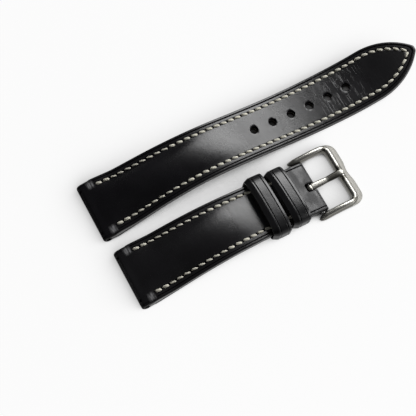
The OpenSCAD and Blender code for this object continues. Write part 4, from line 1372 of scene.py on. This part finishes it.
def floorMaterial():
    # pale paper; what the camera, gloss and glass see of it is lifted, and painted shade darkens that lift in
    # gaps and under the object
    material, shader = startMaterial("studio_floor", Specular_IOR_Level=0.2, Roughness=0.9,
                                     Base_Color=studio["floorColour"], Emission_Color=(1, 1, 1, 1))
    rays = addNode(material, "ShaderNodeLightPath")
    seen = most(material, *(rays.outputs[f"Is {kind} Ray"] for kind in ("Camera", "Glossy", "Transmission")))
    glow = times(material, seen, studio["floorGlow"])
    for shade in paintedShades:
        way = addNode(material, "ShaderNodeCombineXYZ", dict(zip("XYZ", shade["way"]))).outputs["Vector"]
        around = addNode(material, "ShaderNodeAmbientOcclusion", {"Distance": shade["reach"], "Normal": way},
                         samples=14)
        dark = stretch(material, around.outputs["AO"], *shade["range"], shade["darkest"], 1.0)
        if not shade["inGloss"]:
            dark = most(material, dark, rays.outputs["Is Glossy Ray"])
        glow = times(material, glow, dark)
    link(material, glow, shader.inputs["Emission Strength"])
    return material


def makeFloor():
    bm = bmesh.new()
    bmesh.ops.create_grid(bm, x_segments=8, y_segments=8, size=studio["floor"] / 2)
    floorPiece = toObject("floor", bm, floorMaterial())
    return floorPiece


def makeWorld():
    # a dark room with a pale low band that is brightest on the right
    world = bpy.data.worlds.new("studio")
    bpy.context.scene.world = world
    world.use_nodes = True
    sky = world.node_tree.nodes["Background"]
    place = addNode(world, "ShaderNodeTexCoord").outputs["Generated"]
    low = fade(world, partOf(world, place, "Z"), studio["bandTo"] * 0.3, studio["bandTo"])
    side = addNode(world, "ShaderNodeVectorMath", {0: place, 1: studio["bandWay"]}, operation="DOT_PRODUCT")
    glow = times(world, low, stretch(world, side.outputs["Value"], *studio["bandRange"]))
    link(world, timesPlus(world, glow, studio["band"], studio["room"]), sky.inputs["Strength"])
    sky.inputs["Color"].default_value = (1, 1, 1, 1)


def placeItem(name, data, way, location):
    # a lamp or the camera, looking back along way
    item = bpy.data.objects.new(name, data)
    bpy.context.scene.collection.objects.link(item)
    item.location = location
    item.rotation_euler = way.to_track_quat("Z", "Y").to_euler()
    return item


def addLamp(name, direction, distance, size, power):
    lamp = bpy.data.lights.new(name, "AREA")
    lamp.shape = "ELLIPSE"
    lamp.size, lamp.size_y = size
    lamp.energy = power
    way = Vector(direction).normalized()
    return placeItem(name, lamp, way, way * distance)


floorPiece = makeFloor()
makeWorld()
panel = addLamp("panel", **lamps["panel"])
addLamp("fill", **lamps["fill"])
# The panel is flagged off the paper, so the soft shadow falls away from the fill
flagged = bpy.data.collections.new("flagged")
flagged.objects.link(floorPiece)
flagged.collection_objects[0].light_linking.link_state = "EXCLUDE"
panel.light_linking.receiver_collection = flagged

# Camera at the photograph's angle
view = {"elevation": 70.0, "turn": 28.141, "distance": 364.93, "target": (-24.177, -1.825, 0.0),
        "focalPixels": 1200.0, "imagePixels": 416.0, "sensor": 36.0}


def makeCamera():
    e, t = math.radians(view["elevation"]), math.radians(view["turn"])
    back = Vector((-math.sin(t) * math.cos(e), -math.cos(t) * math.cos(e), math.sin(e)))
    camera = bpy.data.cameras.new("camera")
    camera.sensor_width = view["sensor"]
    camera.lens = camera.sensor_width * view["focalPixels"] / view["imagePixels"]
    camera.clip_start = 0.01
    camera.clip_end = 20.0
    place = (Vector(view["target"]) + back * view["distance"]) * mm
    bpy.context.scene.camera = placeItem("camera", camera, back, place)


makeCamera()
bpy.context.scene.view_settings.view_transform = "Standard"
print("strap: studio made")
